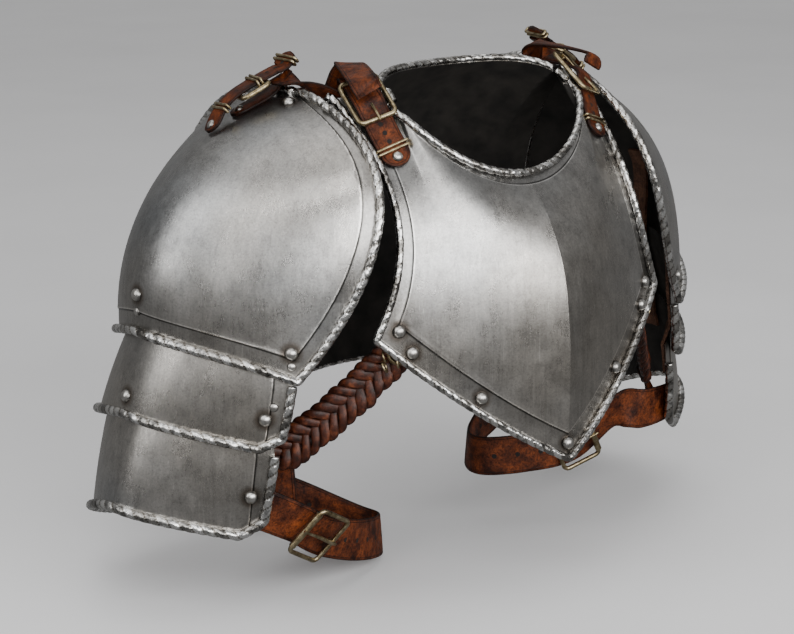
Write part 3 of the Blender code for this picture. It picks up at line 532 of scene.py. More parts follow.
# Shares of the straps' ways where their rivets, their brass loops and their holes are
SHOULDER_RIVET, SHOULDER_KEEPER = 0.075, 0.145
CHAPE_RIVET = 0.94
PAULDRON_RIVET = 0.94
BILLET_RIVET = 0.07
HOLE_RADIUS = {"shoulder": 0.0019, "billet": 0.0017, "arm": 0.0021}
SHOULDER_HOLES = (0.20, 0.27, 0.34)
BILLET_HOLES = (0.72, 0.80, 0.88)
ARM_HOLES = (0.28, 0.32, 0.36, 0.40, 0.44, 0.60, 0.64, 0.68)
BILLET_KEEPERS = (0.24, 0.60, 0.92)
# Ring under an arm: share across the breast plate and height on it
RING_PLACE = (0.895, 0.020)
RING_GIRTH = 1.15
# Plait from the ring to the upper lame's corner on the left: how much of its depth is tucked
# in behind the ring, its end from the corner, the way it faces, and its stops and their sag
PLAIT_TUCK = 0.28
PLAIT_END = np.array([-0.010, 0.020, -0.012])
PLAIT_FACING = np.array([0.73, -0.65, 0.04])
PLAIT_STOPS = (0.35, 0.7)
PLAIT_SAG = np.array([0, 0, -0.004])
# Brass links at the plait's head.  Columns: share of its way, distance off its middle.
LINKS = ((0.03, -0.006), (0.07, 0.004), (0.11, -0.002))
LINK_RADIUS = 0.0040
LINK_WIRE = 0.0009
LINK_LIFT = 0.0016
# Tab: where its head lies on the plait, its bow, and how far it hangs on the arm strap, as a
# share of that strap's width
TAB_HEAD = 0.04
TAB_BOW = np.array([0, 0, 0.006])
TAB_HANG = 0.30


def strap_line(route, normals, count):
    """Stations of a strap: its centre, the direction across it and its outer normal."""
    both = smooth_route(np.hstack([route, normals]), count)
    centre, normal = both[:, :3], both[:, 3:]
    tangent = np.gradient(centre, axis=0)
    across = unit(np.cross(tangent, normal))
    return centre, across, unit(np.cross(across, tangent))


# Seats of straps and rivets on the smooth plates


def on_plate(place, inside, u, v, lift):
    """A point lifted off a plate, with the normal there."""
    normal = surface_normal(place, u, v, inside)
    return place(u, v) + normal * lift, normal


def breast_point(u, v, lift):
    return on_plate(breast_surface, chest_middle(), u, v, lift)


def back_point(u, v, lift):
    return on_plate(back_surface, chest_middle(), u, v, lift)


def pauldron_point(index, side, u, v, lift):
    """A point lifted off the dome, 0, or off a lame, 1 or 2."""
    place = lame_surface(index, side) if index else dome_surface(side)
    return on_plate(place, arm_middle(side), u, v, lift)


def shoulder_line(rows, side, count):
    """Stations of a strap over the shoulder seam."""
    point_on = {"breast": breast_point, "back": back_point}
    points, normals = [], []
    for plate, u, v, lift in rows:
        point, normal = point_on[plate](side * u, v, STRAP_ON_PLATE + lift * BUCKLE_LIFT)
        points.append(point)
        normals.append(normal)
    return strap_line(points, normals, count)


def arm_line(side_name, side, count):
    """Stations of an arm strap from inside the lower lame's front round to its back."""
    depth = PLATE / 2 + ARM_STRAP_CLEARANCE + LEATHER / 2
    stops = [pauldron_point(2, side, -u, ARM_STRAP_HEIGHT, -depth) for u in ARM_STRAP_ENDS]
    middle = np.mean([row[:2] for row in ARM_LOOP], axis=0)
    level = stops[-1][0][2]
    lifts = ARM_STRAP_LIFT[side_name] + (0.0,) * len(ARM_LOOP)
    for (x, y, sag), lift in zip(ARM_LOOP, lifts):
        point = np.array([side * x * PAULDRON_REACH, KEEL_Y + y * PAULDRON_HALF_DEPTH,
                          level - sag * ARM_STRAP_SAG[side_name] + lift])
        out = np.array([side * (x - middle[0]) * PAULDRON_REACH,
                        (y - middle[1]) * PAULDRON_HALF_DEPTH, 0.0])
        stops.append((point, unit(out)))
    stops += [pauldron_point(2, side, u, ARM_STRAP_HEIGHT, -depth)
              for u in reversed(ARM_STRAP_ENDS)]
    return strap_line(*zip(*stops), count)


# Meshes


def add_piece(name, points, faces, materials, slot="steel", nodes=(), attributes=None,
              face_materials=None, sharp=None):
    """A new piece that rides on the part, with its attributes and what it stands for."""
    mesh = bpy.data.meshes.new(name)
    mesh.from_pydata(np.asarray(points, dtype=float).tolist(), [], faces)
    for material in materials:
        mesh.materials.append(material)
    for key, values in (attributes or {}).items():
        layer = mesh.attributes.new(key, "FLOAT", "POINT")
        layer.data.foreach_set("value", np.asarray(values, dtype=np.float32).ravel())
    if face_materials is not None:
        mesh.polygons.foreach_set("material_index", np.asarray(face_materials, dtype=np.int32))
    mesh.update()
    mesh.shade_smooth()
    if sharp:
        mesh.set_sharp_from_angle(angle=math.radians(sharp))
    thing = bpy.data.objects.new(name, mesh)
    bpy.context.scene.collection.objects.link(thing)
    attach(thing, "root")
    if nodes:
        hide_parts(*nodes)
    return thing


def grid_faces(columns, rows, start=0, flip=False):
    """Quads of a grid whose points run along the rows first."""
    i, j = np.meshgrid(np.arange(columns - 1), np.arange(rows - 1), indexing="ij")
    quads = np.stack([i * rows + j, (i + 1) * rows + j, (i + 1) * rows + j + 1,
                      i * rows + j + 1], -1).reshape(-1, 4) + start
    return quads[:, ::-1] if flip else quads


def skin(count, sides, closed=False, flip=False):
    """Quads round a row of rings of points, and the two ends of a row that isn't closed."""
    faces = []
    for i in range(count if closed else count - 1):
        k = (i + 1) % count
        for j in range(sides):
            m = (j + 1) % sides
            faces.append([i * sides + j, i * sides + m, k * sides + m, k * sides + j])
    ends = [] if closed else [list(range(sides))[::-1],
                              [(count - 1) * sides + j for j in range(sides)]]
    if flip:
        faces = [[face[0], *face[:0:-1]] for face in faces]
        ends = [end[::-1] for end in ends]
    return faces + ends


def joined(parts):
    """Several sets of points and faces as one."""
    points, faces = [], []
    for verts, polygons in parts:
        shift = sum(len(item) for item in points)
        points.append(np.asarray(verts))
        faces += [[index + shift for index in polygon] for polygon in polygons]
    return np.concatenate(points), faces


def lengths_along(points, axis):
    """Running length of the rows or columns of a grid of points."""
    steps = np.linalg.norm(np.diff(points, axis=axis), axis=-1)
    pad = [(0, 0), (0, 0)]
    pad[axis] = (1, 0)
    return np.pad(np.cumsum(steps, axis=axis), pad)


def near_lines(length, band, count):
    """Distances from a far end, with close lines at a band's step next to the near end."""
    if not band:
        return np.linspace(0, length, count)
    close = [band + share * STEP_WIDTH for share in STEP_LINES] + [0.5 * band, 0.0]
    field = np.linspace(0, length - close[0], count - len(close) + 1)
    return np.concatenate([field, length - np.array(close[1:])])


def band_lines(length, low_band, high_band, count):
    """Distances along a column, with close lines at the steps at both of its ends."""
    half = count // 2
    low = length / 2 - near_lines(length / 2, low_band, half)[::-1]
    high = length / 2 + near_lines(length / 2, high_band, count - half + 1)[1:]
    return np.concatenate([low, high])


def fine_grid(place, top, bands, columns, rows):
    """Close grid on a plate that follows its edges: u, v and the distances to the edges."""
    side_band, low_band, high_band = bands
    us, vs = np.linspace(-1, 1, TABLE), np.linspace(0, top, TABLE)
    table = place(*np.meshgrid(us, vs, indexing="ij"))
    along_u, along_v = lengths_along(table, 0), lengths_along(table, 1)
    half = (TABLE - 1) // 2
    wanted = []
    for j in range(TABLE):
        middle, end = along_u[half, j], along_u[-1, j]
        front = middle - near_lines(middle, side_band, columns)[::-1]
        back = middle + near_lines(end - middle, side_band, columns)[1:]
        wanted.append(np.interp(np.concatenate([front, back]), along_u[:, j], us))
    u_table = np.stack(wanted, -1)
    v_table = np.stack([np.interp(band_lines(along_v[i, -1], low_band, high_band, rows),
                                  along_v[i], vs) for i in range(TABLE)])
    u = np.repeat(u_table[:, :1], rows, axis=1)
    v = np.repeat(v_table[half][None], len(u), axis=0)
    for _ in range(GRID_ROUNDS):
        u = np.stack([np.interp(v[i], vs, u_table[i]) for i in range(len(u))])
        v = np.stack([np.interp(u[:, j], us, v_table[:, j]) for j in range(rows)], -1)
    points = place(u, v)
    row_length, column_length = lengths_along(points, 0), lengths_along(points, 1)
    return u, v, {
        "side": np.minimum(row_length, row_length[-1:] - row_length),
        "low": column_length, "high": column_length[:, -1:] - column_length}


def smooth_step(low, high, value):
    t = np.clip((value - low) / (high - low), 0.0, 1.0)
    return t * t * (3 - 2 * t)


def hand_waves(x, y, z):
    """Slight unevenness of a plate worked by hand."""
    return (np.sin(31 * x + 17 * z + 1.3) * np.sin(43 * y - 23 * z + 0.4)
            + 0.6 * np.sin(61 * x - 37 * y + 2.1) * np.sin(53 * z + 29 * y))


def fine_plate(name, place, inside, top, bands, columns, rows, node, studs, narrow=False,
               keel=False):
    """A plate as sheet steel: its sunk borders, its inside in painted shade, and the reach of the
    painted shadow and patina round its rivets.
    """
    side_band, low_band, high_band = bands
    u, v, reach = fine_grid(place, top, bands, columns, rows)
    steps = [reach["side"] - side_band]
    if low_band:
        steps.append(reach["low"] - low_band)
    if high_band:
        off_seam = np.where(np.abs(u) > SEAM_SHARE + 0.01, 1.0, 0.0) if narrow else 0.0
        steps.append(reach["high"] - high_band + off_seam)
    border = np.min(steps, axis=0)
    base, normal = place(u, v), surface_normal(place, u, v, inside)
    sunk = STEP_DEPTH * (1 - smooth_step(-STEP_WIDTH, STEP_WIDTH * 0.4, border))
    ridge = RIDGE_SHARE * STEP_DEPTH * np.exp(-((border - STEP_WIDTH) / STEP_WIDTH)**2)
    wave = hand_waves(*np.moveaxis(base, -1, 0)) * HAMMERED
    wave = wave * smooth_step(0.0, HAMMERED_FADE, np.minimum(border, reach["side"]))
    if keel:
        # The keel stays sharp up to the neck, where the sheet itself has lost its fold
        rise = smooth_step(*KEEL_RISES, v) * (1 - smooth_step(*KEEL_FADES, v))
        wave = wave + KEEL_RISE * rise * np.clip(1 - np.abs(base[..., 0]) / KEEL_REACH, 0.0, 1.0)
    outer = base + normal * (PLATE / 2 - sunk + ridge + wave)[..., None]
    inner = base - normal * (PLATE / 2)
    shape, count = u.shape, u.size
    points = np.concatenate([outer.reshape(-1, 3), inner.reshape(-1, 3)])
    i, j = shape[0] // 4, shape[1] // 2
    turn = np.cross(outer[i + 1, j] - outer[i, j], outer[i, j + 1] - outer[i, j])
    flip = np.dot(turn, normal[i, j]) < 0
    outer_faces = grid_faces(*shape, flip=flip)
    inner_faces = grid_faces(*shape, start=count, flip=not flip)
    index = np.arange(count).reshape(shape)
    rim = np.concatenate([index[:, 0], index[-1, 1:], index[-2::-1, -1], index[0, -2:0:-1]])
    after = np.roll(rim, -1)
    edge_faces = np.stack([rim, rim + count, after + count, after], -1)
    edge_faces = edge_faces[:, ::-1] if flip else edge_faces
    # Distance to the nearest rivet, which the steel's painted shadow and patina round rivets
    # follow
    shadow_and_patina_reach = np.full(count, 1.0)
    for stud in studs:
        shadow_and_patina_reach = np.minimum(shadow_and_patina_reach, np.linalg.norm(base.reshape(-1, 3) - np.asarray(stud), axis=-1))
    faces = np.concatenate([outer_faces, inner_faces, edge_faces])
    kinds = np.concatenate([np.zeros(len(outer_faces)), np.ones(len(inner_faces)),
                            np.zeros(len(edge_faces))])
    thing = add_piece(f"{name}_sheet", points, faces.tolist(), [plate_steel, inside_painted_shade],
                      nodes=(node,), face_materials=kinds, sharp=28,
                      attributes={"border": np.tile(border.ravel(), 2), "shadow_and_patina_reach": np.tile(shadow_and_patina_reach, 2)})
    if keel:
        mesh = thing.data
        ends = np.zeros(len(mesh.edges) * 2, dtype=np.int32)
        mesh.edges.foreach_get("vertices", ends)
        on_keel = np.abs(points[ends.reshape(-1, 2), 0]).max(axis=1) < 1e-6
        layer = mesh.attributes.get("sharp_edge") or mesh.attributes.new(
            "sharp_edge", "BOOLEAN", "EDGE")
        sharp_already = np.zeros(len(mesh.edges), dtype=bool)
        layer.data.foreach_get("value", sharp_already)
        layer.data.foreach_set("value", sharp_already | on_keel)
        mesh.update()


def evenly(points, extra, spacing, closed):
    """A line and what goes with it, resampled to even spacing."""
    both = np.hstack([points, extra])
    if closed:
        both = np.vstack([both, both[:1]])
    length = running_length(both[:, :3])
    count = max(8, round(length[-1] / spacing))
    wanted = np.linspace(0, length[-1], count + 1)
    both = np.stack([np.interp(wanted, length, both[:, k]) for k in range(6)], -1)
    if closed:
        both = both[:-1]
    return both[:, :3], both[:, 3:], length[-1]


def ring_points(middle, first, second, angles, size=1.0):
    """Rings round the points of a line, in the plane of two directions at each of them."""
    ring = (first[:, None] * np.cos(angles)[None, :, None]
            + second[:, None] * np.sin(angles)[None, :, None])
    return (middle[:, None] + ring * size).reshape(-1, 3)


def around(sides):
    return np.arange(sides) * math.tau / sides


def rope(name, place, inside, pairs, closed, node, girth=1.0):
    """Rolled edge of a plate along the pairs of u and v given, filed like a rope."""
    u, v = np.array(pairs).T
    centre, normal, total = evenly(place(u, v), surface_normal(place, u, v, inside),
                                   ROPE_SPACING, closed)
    for _ in range(ROPE_ROUNDS):
        for line in (centre, normal):
            if closed:
                line[:] = (np.roll(line, 1, 0) + 2 * line + np.roll(line, -1, 0)) / 4
            else:
                line[1:-1] = (line[:-2] + 2 * line[1:-1] + line[2:]) / 4
    normal = unit(normal)
    if closed:
        tangent = np.roll(centre, -1, 0) - np.roll(centre, 1, 0)
    else:
        tangent = np.gradient(centre, axis=0)
    across = unit(np.cross(tangent, normal))
    turns = max(1, round(total / ROPE_PITCH))
    count = len(centre)
    stations = np.arange(count) * turns / (count if closed else count - 1)
    angles = around(ROPE_SIDES)
    phase = stations[:, None] + 2 * angles[None] / math.tau
    notch = np.abs(np.sin(math.pi * phase))
    radius = ROPE_RADIUS * girth * (1 - ROPE_NOTCH + ROPE_NOTCH * notch**0.5)
    outer = ring_points(centre + normal * ROLL_RADIUS, across, normal, angles, radius[..., None])
    shades = np.random.default_rng(len(name)).random(turns)
    strand = shades[np.floor(phase).astype(int) % turns]
    add_piece(name, outer, skin(count, ROPE_SIDES, closed), [rope_steel], nodes=(node,),
              attributes={"notch": notch, "strand": strand})


def stud(name, size, seat, nodes=()):
    """A domed rivet head of a radius and a height, on its seat: a point and the normal there."""
    point, normal = seat
    axis = Vector(normal).to_track_quat("Z", "Y").to_matrix()
    points, reach = [], []
    for share, height in STUD_SECTION:
        for angle in around(STUD_SIDES):
            local = Vector((size[0] * share * math.cos(angle), size[0] * share * math.sin(angle),
                            size[1] * height))
            points.append(Vector(point) + axis @ local)
            reach.append(share)
    add_piece(name, points, skin(len(STUD_SECTION), STUD_SIDES, flip=True), [rivet_steel],
              nodes=nodes, attributes={"reach": reach}, sharp=50)


def tube(points, radius, closed, sides=10, taper=1.0):
    """Points and faces of a round wire along a line."""
    points = np.asarray(points, dtype=float)
    count = len(points)
    if closed:
        tangent = np.roll(points, -1, 0) - np.roll(points, 1, 0)
    else:
        tangent = np.gradient(points, axis=0)
    tangent = unit(tangent)
    frames = [unit(np.cross(tangent[0], TUBE_GUIDE))]
    for k in range(1, count):
        frames.append(unit(frames[-1] - tangent[k] * np.dot(frames[-1], tangent[k])))
    frames = np.array(frames)
    size = (radius * taper * np.ones(count))[:, None, None]
    verts = ring_points(points, frames, np.cross(tangent, frames), around(sides), size)
    return verts, skin(count, sides, closed)


def strap(name, line, width, node, ends=(True, True)):
    """A leather strap with eased edges along its stations."""
    centre, across, normal = line
    length = running_length(centre)
    count = len(centre)
    reach = to_end = np.ones(count)
    for rounded, way in zip(ends, (length, length[-1] - length)):
        if rounded:
            reach = np.minimum(reach, way / (width / 2))
            to_end = np.minimum(to_end, way)
    half = width / 2 * np.maximum(STRAP_TIP, np.sqrt(np.clip(1 - (1 - reach)**2, 0, 1)))
    out, up = np.array(STRAP_SECTION).T
    side = half[:, None] * out[None]
    points = (centre[:, None] + across[:, None] * side[..., None]
              + normal[:, None] * (up[None] * LEATHER / 2)[..., None])
    edge = np.minimum(half[:, None] * (1 - np.abs(out[None])), to_end[:, None])
    add_piece(name, points.reshape(-1, 3), skin(count, len(out), flip=True), [strap_leather],
              "leather", (node,), {"edge": edge}, sharp=60)


def circle(middle, axis, radius, count):
    """Points of a circle round a middle, across an axis."""
    turn = Vector(axis).to_track_quat("Z", "Y").to_matrix()
    return [Vector(middle) + turn @ Vector((math.cos(a), math.sin(a), 0.0)) * radius
            for a in around(count)]


def dots(name, seats, radius):
    """Small holes: near-black discs that lie on a strap, painted shade for the dark inside of
    each hole.
    """
    parts = [(np.array(circle(point, normal, radius, HOLE_SIDES)), [list(range(HOLE_SIDES))])
             for point, normal in seats]
    add_piece(name, *joined(parts), [hole_painted_shade], "leather")


def strap_seat(line, share, offset=0.0, lift=0.0):
    """A seat on a strap: its share of the way, how far off its middle and how far above."""
    centre, across, normal = line
    k = share * (len(centre) - 1)
    i = min(int(k), len(centre) - 2)
    f = k - i
    place = [item[i] * (1 - f) + item[i + 1] * f for item in (centre, across, normal)]
    return place[0] + place[1] * offset + place[2] * lift, place[2]


def rounded_loop(half_wide, half_high, corner, steps):
    """Outline of a rectangle with rounded corners."""
    outline = []
    for quarter, (x, y) in enumerate(((1, 1), (-1, 1), (-1, -1), (1, -1))):
        for step in range(steps):
            angle = math.radians(90 * quarter + 90 / (steps - 1) * step)
            outline.append((x * (half_wide - corner) + corner * math.cos(angle),
                            y * (half_high - corner) + corner * math.sin(angle)))
    return outline


def buckle(name, line, shares, width, side_of_strap, seat, node, roller=False, tongue=True):
    """A wire buckle whose end bars lie across a strap at two shares of its way."""
    centre, across, normal = line
    last_station = len(centre) - 1
    first, last = [round(share * last_station) for share in shares]
    start, end = centre[first], centre[last]
    long_way = Vector(end - start)
    across_way = Vector(across[(first + last) // 2])
    up_way = across_way.cross(long_way).normalized()
    across_way = long_way.cross(up_way).normalized()
    if up_way.dot(Vector(normal[first] + normal[last])) * side_of_strap < 0:
        up_way, across_way = -up_way, -across_way
    reach = max(1, round(last_station * BAR_SHARE))
    near = list(range(first, first + reach)) + list(range(last - reach, last + 1))
    bow = max(up_way.dot(Vector(centre[k] - start)) for k in near)
    half_long = long_way.length / 2
    half_wide = width / 2 + BUCKLE_CLEARANCE + BUCKLE_BAR / 2
    middle = Vector((start + end) / 2) + up_way * (bow + LEATHER / 2 + seat + BUCKLE_BAR / 2)
    along = long_way.normalized()
    outline = [middle + along * x + across_way * y
               for x, y in rounded_loop(half_long, half_wide, BUCKLE_CORNER, 6)]
    parts = [tube(outline, BUCKLE_WIRE, True, 12)]
    if tongue:
        rise = BUCKLE_WIRE * TONGUE_RISE
        tip = middle - along * (half_long + TONGUE_REACH) + up_way * rise
        heel = middle + along * half_long
        bend = [point + along * x + up_way * y
                for point, (x, y) in zip((heel, middle, tip), TONGUE_BENDS)]
        bend = [list(point) for point in (heel + up_way * BUCKLE_WIRE, *bend, tip)]
        route = smooth_route(bend, len(TONGUE_TAPER))
        parts.append(tube(route, TONGUE_WIRE, False, 10, TONGUE_TAPER))
        eye = [heel + (up_way * math.cos(a) + along * math.sin(a)) * rise for a in around(12)]
        parts.append(tube(eye, EYE_WIRE, True, 8))
    if roller:
        bar = [middle - along * half_long + across_way * (half_wide - ROLLER_INSET) * share
               for share in np.linspace(-1, 1, 7)]
        parts.append(tube(bar, BUCKLE_WIRE * ROLLER_GIRTH, False, 16))
    add_piece(name, *joined(parts), [brass_metal], "brass", (node,), sharp=50)


def keeper(name, line, share, width):
    """A brass loop of two wires round a strap."""
    centre, across, normal = [item[round(share * (len(line[0]) - 1))] for item in line]
    outline = rounded_loop(width / 2 + LOOP_SPARE[0], LEATHER / 2 + LOOP_SPARE[1],
                           KEEPER_WIRE, 4)
    parts = []
    for offset in (-KEEPER_BAND / 2, KEEPER_BAND / 2):
        middle = centre + np.cross(across, normal) * offset
        parts.append(tube([middle + across * x + normal * y for x, y in outline], KEEPER_WIRE,
                          True, 8))
    add_piece(name, *joined(parts), [brass_metal], "brass", sharp=50)


def braid(name, line, node):
    """Five strands of leather plaited flat along a line."""
    centre, across, normal = line
    length = running_length(centre)
    total = length[-1]
    turns = total / PLAIT_PITCH
    parts, flank, height = [], [], []
    angles = around(STRAND_SIDES)
    flat = np.sign(np.sin(angles)) * np.abs(np.sin(angles))**0.8
    fade = smooth_step(0.0, 0.012, length) * smooth_step(0.0, 0.010, total - length)
    for strand in range(PLAIT_STRANDS):
        phase = math.tau * (turns * length / total + strand / PLAIT_STRANDS)
        shake = np.sin(length * 210 + 2.1 * strand) * np.sin(length * 87 + strand)
        swing = np.sin(phase) * PLAIT_SWING * (0.72 + 0.28 * fade) + PLAIT_SHAKE * shake * fade
        rise = np.sin(2 * phase) * PLAIT_RISE * (1.0 + 0.35 * shake * fade)
        path = centre + across * swing[:, None] + normal * rise[:, None]
        tangent = unit(np.gradient(path, axis=0))
        wide = unit(np.cross(normal, tangent))
        up = np.cross(tangent, wide)
        girth = (1.0 + STRAND_UNEVEN * np.sin(length * 330 + 1.7 * strand))[:, None, None]
        ring = (wide[:, None] * np.cos(angles)[None, :, None] * STRAND_HALF_WIDTH * girth
                + up[:, None] * flat[None, :, None] * STRAND_HALF_DEPTH)
        parts.append(((path[:, None] + ring).reshape(-1, 3), skin(len(path), STRAND_SIDES)))
        # How high each strand rides and how far round to its flank, which the plait's painted
        # shade follows
        height.append(np.repeat(rise / PLAIT_RISE, STRAND_SIDES))
        flank.append(np.tile(np.abs(np.cos(angles)), len(path)))
    add_piece(name, *joined(parts), [plait_leather], "leather", (node,),
              {"height": np.concatenate(height), "flank": np.concatenate(flank)})


# Materials


def start_material(name):
    """A new material: its tree, its shader and the coordinates in the part's own metres."""
    material = bpy.data.materials.new(name)
    material.use_nodes = True
    tree = material.node_tree
    return material, tree, tree.nodes["Principled BSDF"], place_of(tree)


def feed(tree, node, inputs):
    """Gives a node its inputs: numbers, or other nodes' sockets."""
    for key, value in inputs.items():
        if isinstance(value, bpy.types.NodeSocket):
            tree.links.new(value, node.inputs[key])
        else:
            node.inputs[key].default_value = value


def add_node(tree, kind, inputs=None, **settings):
    made = tree.nodes.new(kind)
    for key, value in settings.items():
        setattr(made, key, value)
    feed(tree, made, inputs or {})
    return made


def place_of(tree, scale=(1, 1, 1), turn=(0, 0, 0)):
    """Coordinates in the part's own metres, stretched and turned."""
    where = add_node(tree, "ShaderNodeTexCoord")
    return add_node(tree, "ShaderNodeMapping", {
        "Vector": where.outputs["Object"], "Scale": scale, "Rotation": turn}).outputs[0]


def noise(tree, vector, scale, detail=3.0, roughness=0.55):
    return add_node(tree, "ShaderNodeTexNoise", {
        "Vector": vector, "Scale": scale, "Detail": detail,
        "Roughness": roughness}).outputs["Fac"]


def ramp(tree, value, stops):
    """Colours or greys along a value."""
    made = add_node(tree, "ShaderNodeValToRGB", {"Fac": value})
    elements = made.color_ramp.elements
    while len(elements) < len(stops):
        elements.new(0.5)
    for element, (at, colour) in zip(elements, stops):
        element.position = at
        colour = (colour,) * 3 if isinstance(colour, (int, float)) else colour
        element.color = (*colour, 1.0)
    return made.outputs["Color"]


def mix(tree, kind, amount, first, second):
    second = second if isinstance(second, bpy.types.NodeSocket) else (*second, 1.0)
    return add_node(tree, "ShaderNodeMix", {0: amount, 6: first, 7: second}, data_type="RGBA",
                    blend_type=kind).outputs[2]


def shade(tree, colour, value, stops, amount=1.0):
    """The colour times the shades that go along a value."""
    return mix(tree, "MULTIPLY", amount, colour, ramp(tree, value, stops))


def attribute(tree, name, low, high):
    """An attribute of the mesh, mapped from low-high to 0-1."""
    made = add_node(tree, "ShaderNodeAttribute", attribute_name=name)
    return add_node(tree, "ShaderNodeMapRange", {
        "Value": made.outputs["Fac"], "From Min": low, "From Max": high}).outputs[0]


def spread(tree, value, low, high):
    """A noise's middle range, mapped to low-high."""
    return add_node(tree, "ShaderNodeMapRange", {
        "Value": value, "From Min": 0.3, "From Max": 0.7, "To Min": low,
        "To Max": high}).outputs[0]


def math_node(tree, operation, first, second):
    return add_node(tree, "ShaderNodeMath", {0: first, 1: second},
                    operation=operation).outputs[0]


def bump(tree, height, distance, strength):
    return add_node(tree, "ShaderNodeBump", {
        "Height": height, "Distance": distance, "Strength": strength}).outputs[0]


def steel_material():
    """Satin brushed steel with an aged patina, darker in the sunk border; painted highlight and
    shade at the border's step, painted shadow with patina round rivets.
    """
    material, tree, shader, where = start_material("steel_plate")
    colour = ramp(tree, noise(tree, where, 13.0, 6.0, 0.62), (
        (0.30, (0.34, 0.333, 0.325)), (0.48, (0.43, 0.42, 0.407)), (0.62, (0.49, 0.48, 0.467)),
        (0.78, (0.56, 0.553, 0.545))))
    colour = shade(tree, colour, noise(tree, where, 5.0, 3.0), (
        (0.35, (1.0, 0.93, 0.83)), (0.52, (1.0, 0.98, 0.95)), (0.68, (0.90, 0.95, 1.0))), 0.75)
    specks = noise(tree, where, 620.0, 4.0, 0.7)
    colour = shade(tree, colour, specks, (
        (0.32, 0.30), (0.44, 0.80), (0.54, 1.0), (0.66, 1.25)), 0.42)
    colour = shade(tree, colour, noise(tree, where, 95.0, 5.0, 0.65), (
        (0.30, 0.62), (0.45, 0.93), (0.60, 1.08)), 0.55)
    streaks = noise(tree, place_of(tree, (260.0, 260.0, 9.0)), 1.0, 4.0, 0.6)
    colour = shade(tree, colour, streaks, ((0.34, 0.80), (0.50, 1.0), (0.66, 1.12)), 0.55)
    scratch_way = place_of(tree, (900.0, 900.0, 22.0), (0.55, 0.35, 0.0))
    scratches = ramp(tree, noise(tree, scratch_way, 1.0, 2.0, 0.4), ((0.66, 0.0), (0.72, 1.0)))
    colour = mix(tree, "ADD", math_node(tree, "MULTIPLY", scratches, 0.30), colour,
                 (0.35, 0.35, 0.34))
    # The sunk border, a painted highlight on its upper corner, painted shade in the groove beside
    # it, and painted shadow with patina round rivets
    colour = shade(tree, colour, attribute(tree, "border", -0.0012, 0.0), (
        (0.0, 0.92), (1.0, 1.0)))
    colour = shade(tree, colour, attribute(tree, "border", -0.003, 0.003), (
        (0.20, 1.0), (0.34, 0.22), (0.45, 0.22), (0.50, 1.0), (0.56, 2.1), (0.66, 1.6),
        (0.76, 1.0)))
    colour = shade(tree, colour, attribute(tree, "shadow_and_patina_reach", 0.0045, 0.0105), (
        (0.0, (0.20, 0.16, 0.13)), (0.35, (0.42, 0.36, 0.31)), (1.0, (1.0, 1.0, 1.0))), 0.85)
    brush = noise(tree, place_of(tree, (700.0, 700.0, 26.0)), 1.0, 3.0, 0.6)
    matt = math_node(tree, "ADD", spread(tree, noise(tree, where, 40.0, 5.0, 0.6), 0.20, 0.30),
                     math_node(tree, "MULTIPLY", brush, 0.09))
    height = math_node(tree, "ADD", math_node(tree, "MULTIPLY", brush, 0.5),
                       math_node(tree, "MULTIPLY", specks, 0.7))
    feed(tree, shader, {"Base Color": colour, "Metallic": 1.0, "Roughness": matt,
                        "Normal": bump(tree, height, 0.00012, 0.8)})
    return material


def inside_material():
    material, tree, shader, where = start_material("steel_inside")
    # Near black: painted shade for the shadow inside the plates
    colour = ramp(tree, noise(tree, where, 60.0, 5.0), (
        (0.3, (0.010, 0.009, 0.008)), (0.7, (0.030, 0.026, 0.022))))
    feed(tree, shader, {"Base Color": colour, "Metallic": 0.4, "Roughness": 0.75})
    return material


def rope_material():
    """Bright filed strands with painted shade in the notches between them."""
    material, tree, shader, where = start_material("steel_rope")
    colour = ramp(tree, attribute(tree, "strand", 0.0, 1.0), (
        (0.0, (0.26, 0.245, 0.225)), (0.30, (0.50, 0.485, 0.46)), (0.55, (0.84, 0.83, 0.805)),
        (1.0, (0.95, 0.945, 0.93))))
    colour = shade(tree, colour, noise(tree, where, 170.0, 2.0, 0.5), (
        (0.36, 0.22), (0.46, 0.80), (0.53, 1.0)), 0.75)
    # Painted shade in the notches between the strands
    colour = shade(tree, colour, attribute(tree, "notch", 0.0, 1.0), (
        (0.04, (0.08, 0.068, 0.058)), (0.20, (0.36, 0.33, 0.29)), (0.44, (1.0, 1.0, 1.0))))
    feed(tree, shader, {
        "Base Color": colour, "Metallic": 1.0,
        "Roughness": spread(tree, noise(tree, where, 300.0, 3.0), 0.16, 0.34),
        "Normal": bump(tree, noise(tree, where, 210.0, 1.0), 0.0012, 0.8)})
    return material


def rivet_material():
    material, tree, shader, where = start_material("steel_rivet")
    colour = ramp(tree, noise(tree, where, 320.0, 4.0, 0.6), (
        (0.3, (0.36, 0.34, 0.31)), (0.55, (0.60, 0.58, 0.55)), (0.75, (0.74, 0.73, 0.70))))
    # Darker towards the rim of the head: painted contact shadow and patina where it meets the
    # plate
    colour = shade(tree, colour, attribute(tree, "reach", 0.0, 1.0), ((0.72, 1.0), (0.98, 0.28)))
    feed(tree, shader, {
        "Base Color": colour, "Metallic": 1.0, "Roughness": 0.30,
        "Normal": bump(tree, noise(tree, where, 700.0, 3.0), 0.00012, 0.6)})
    return material


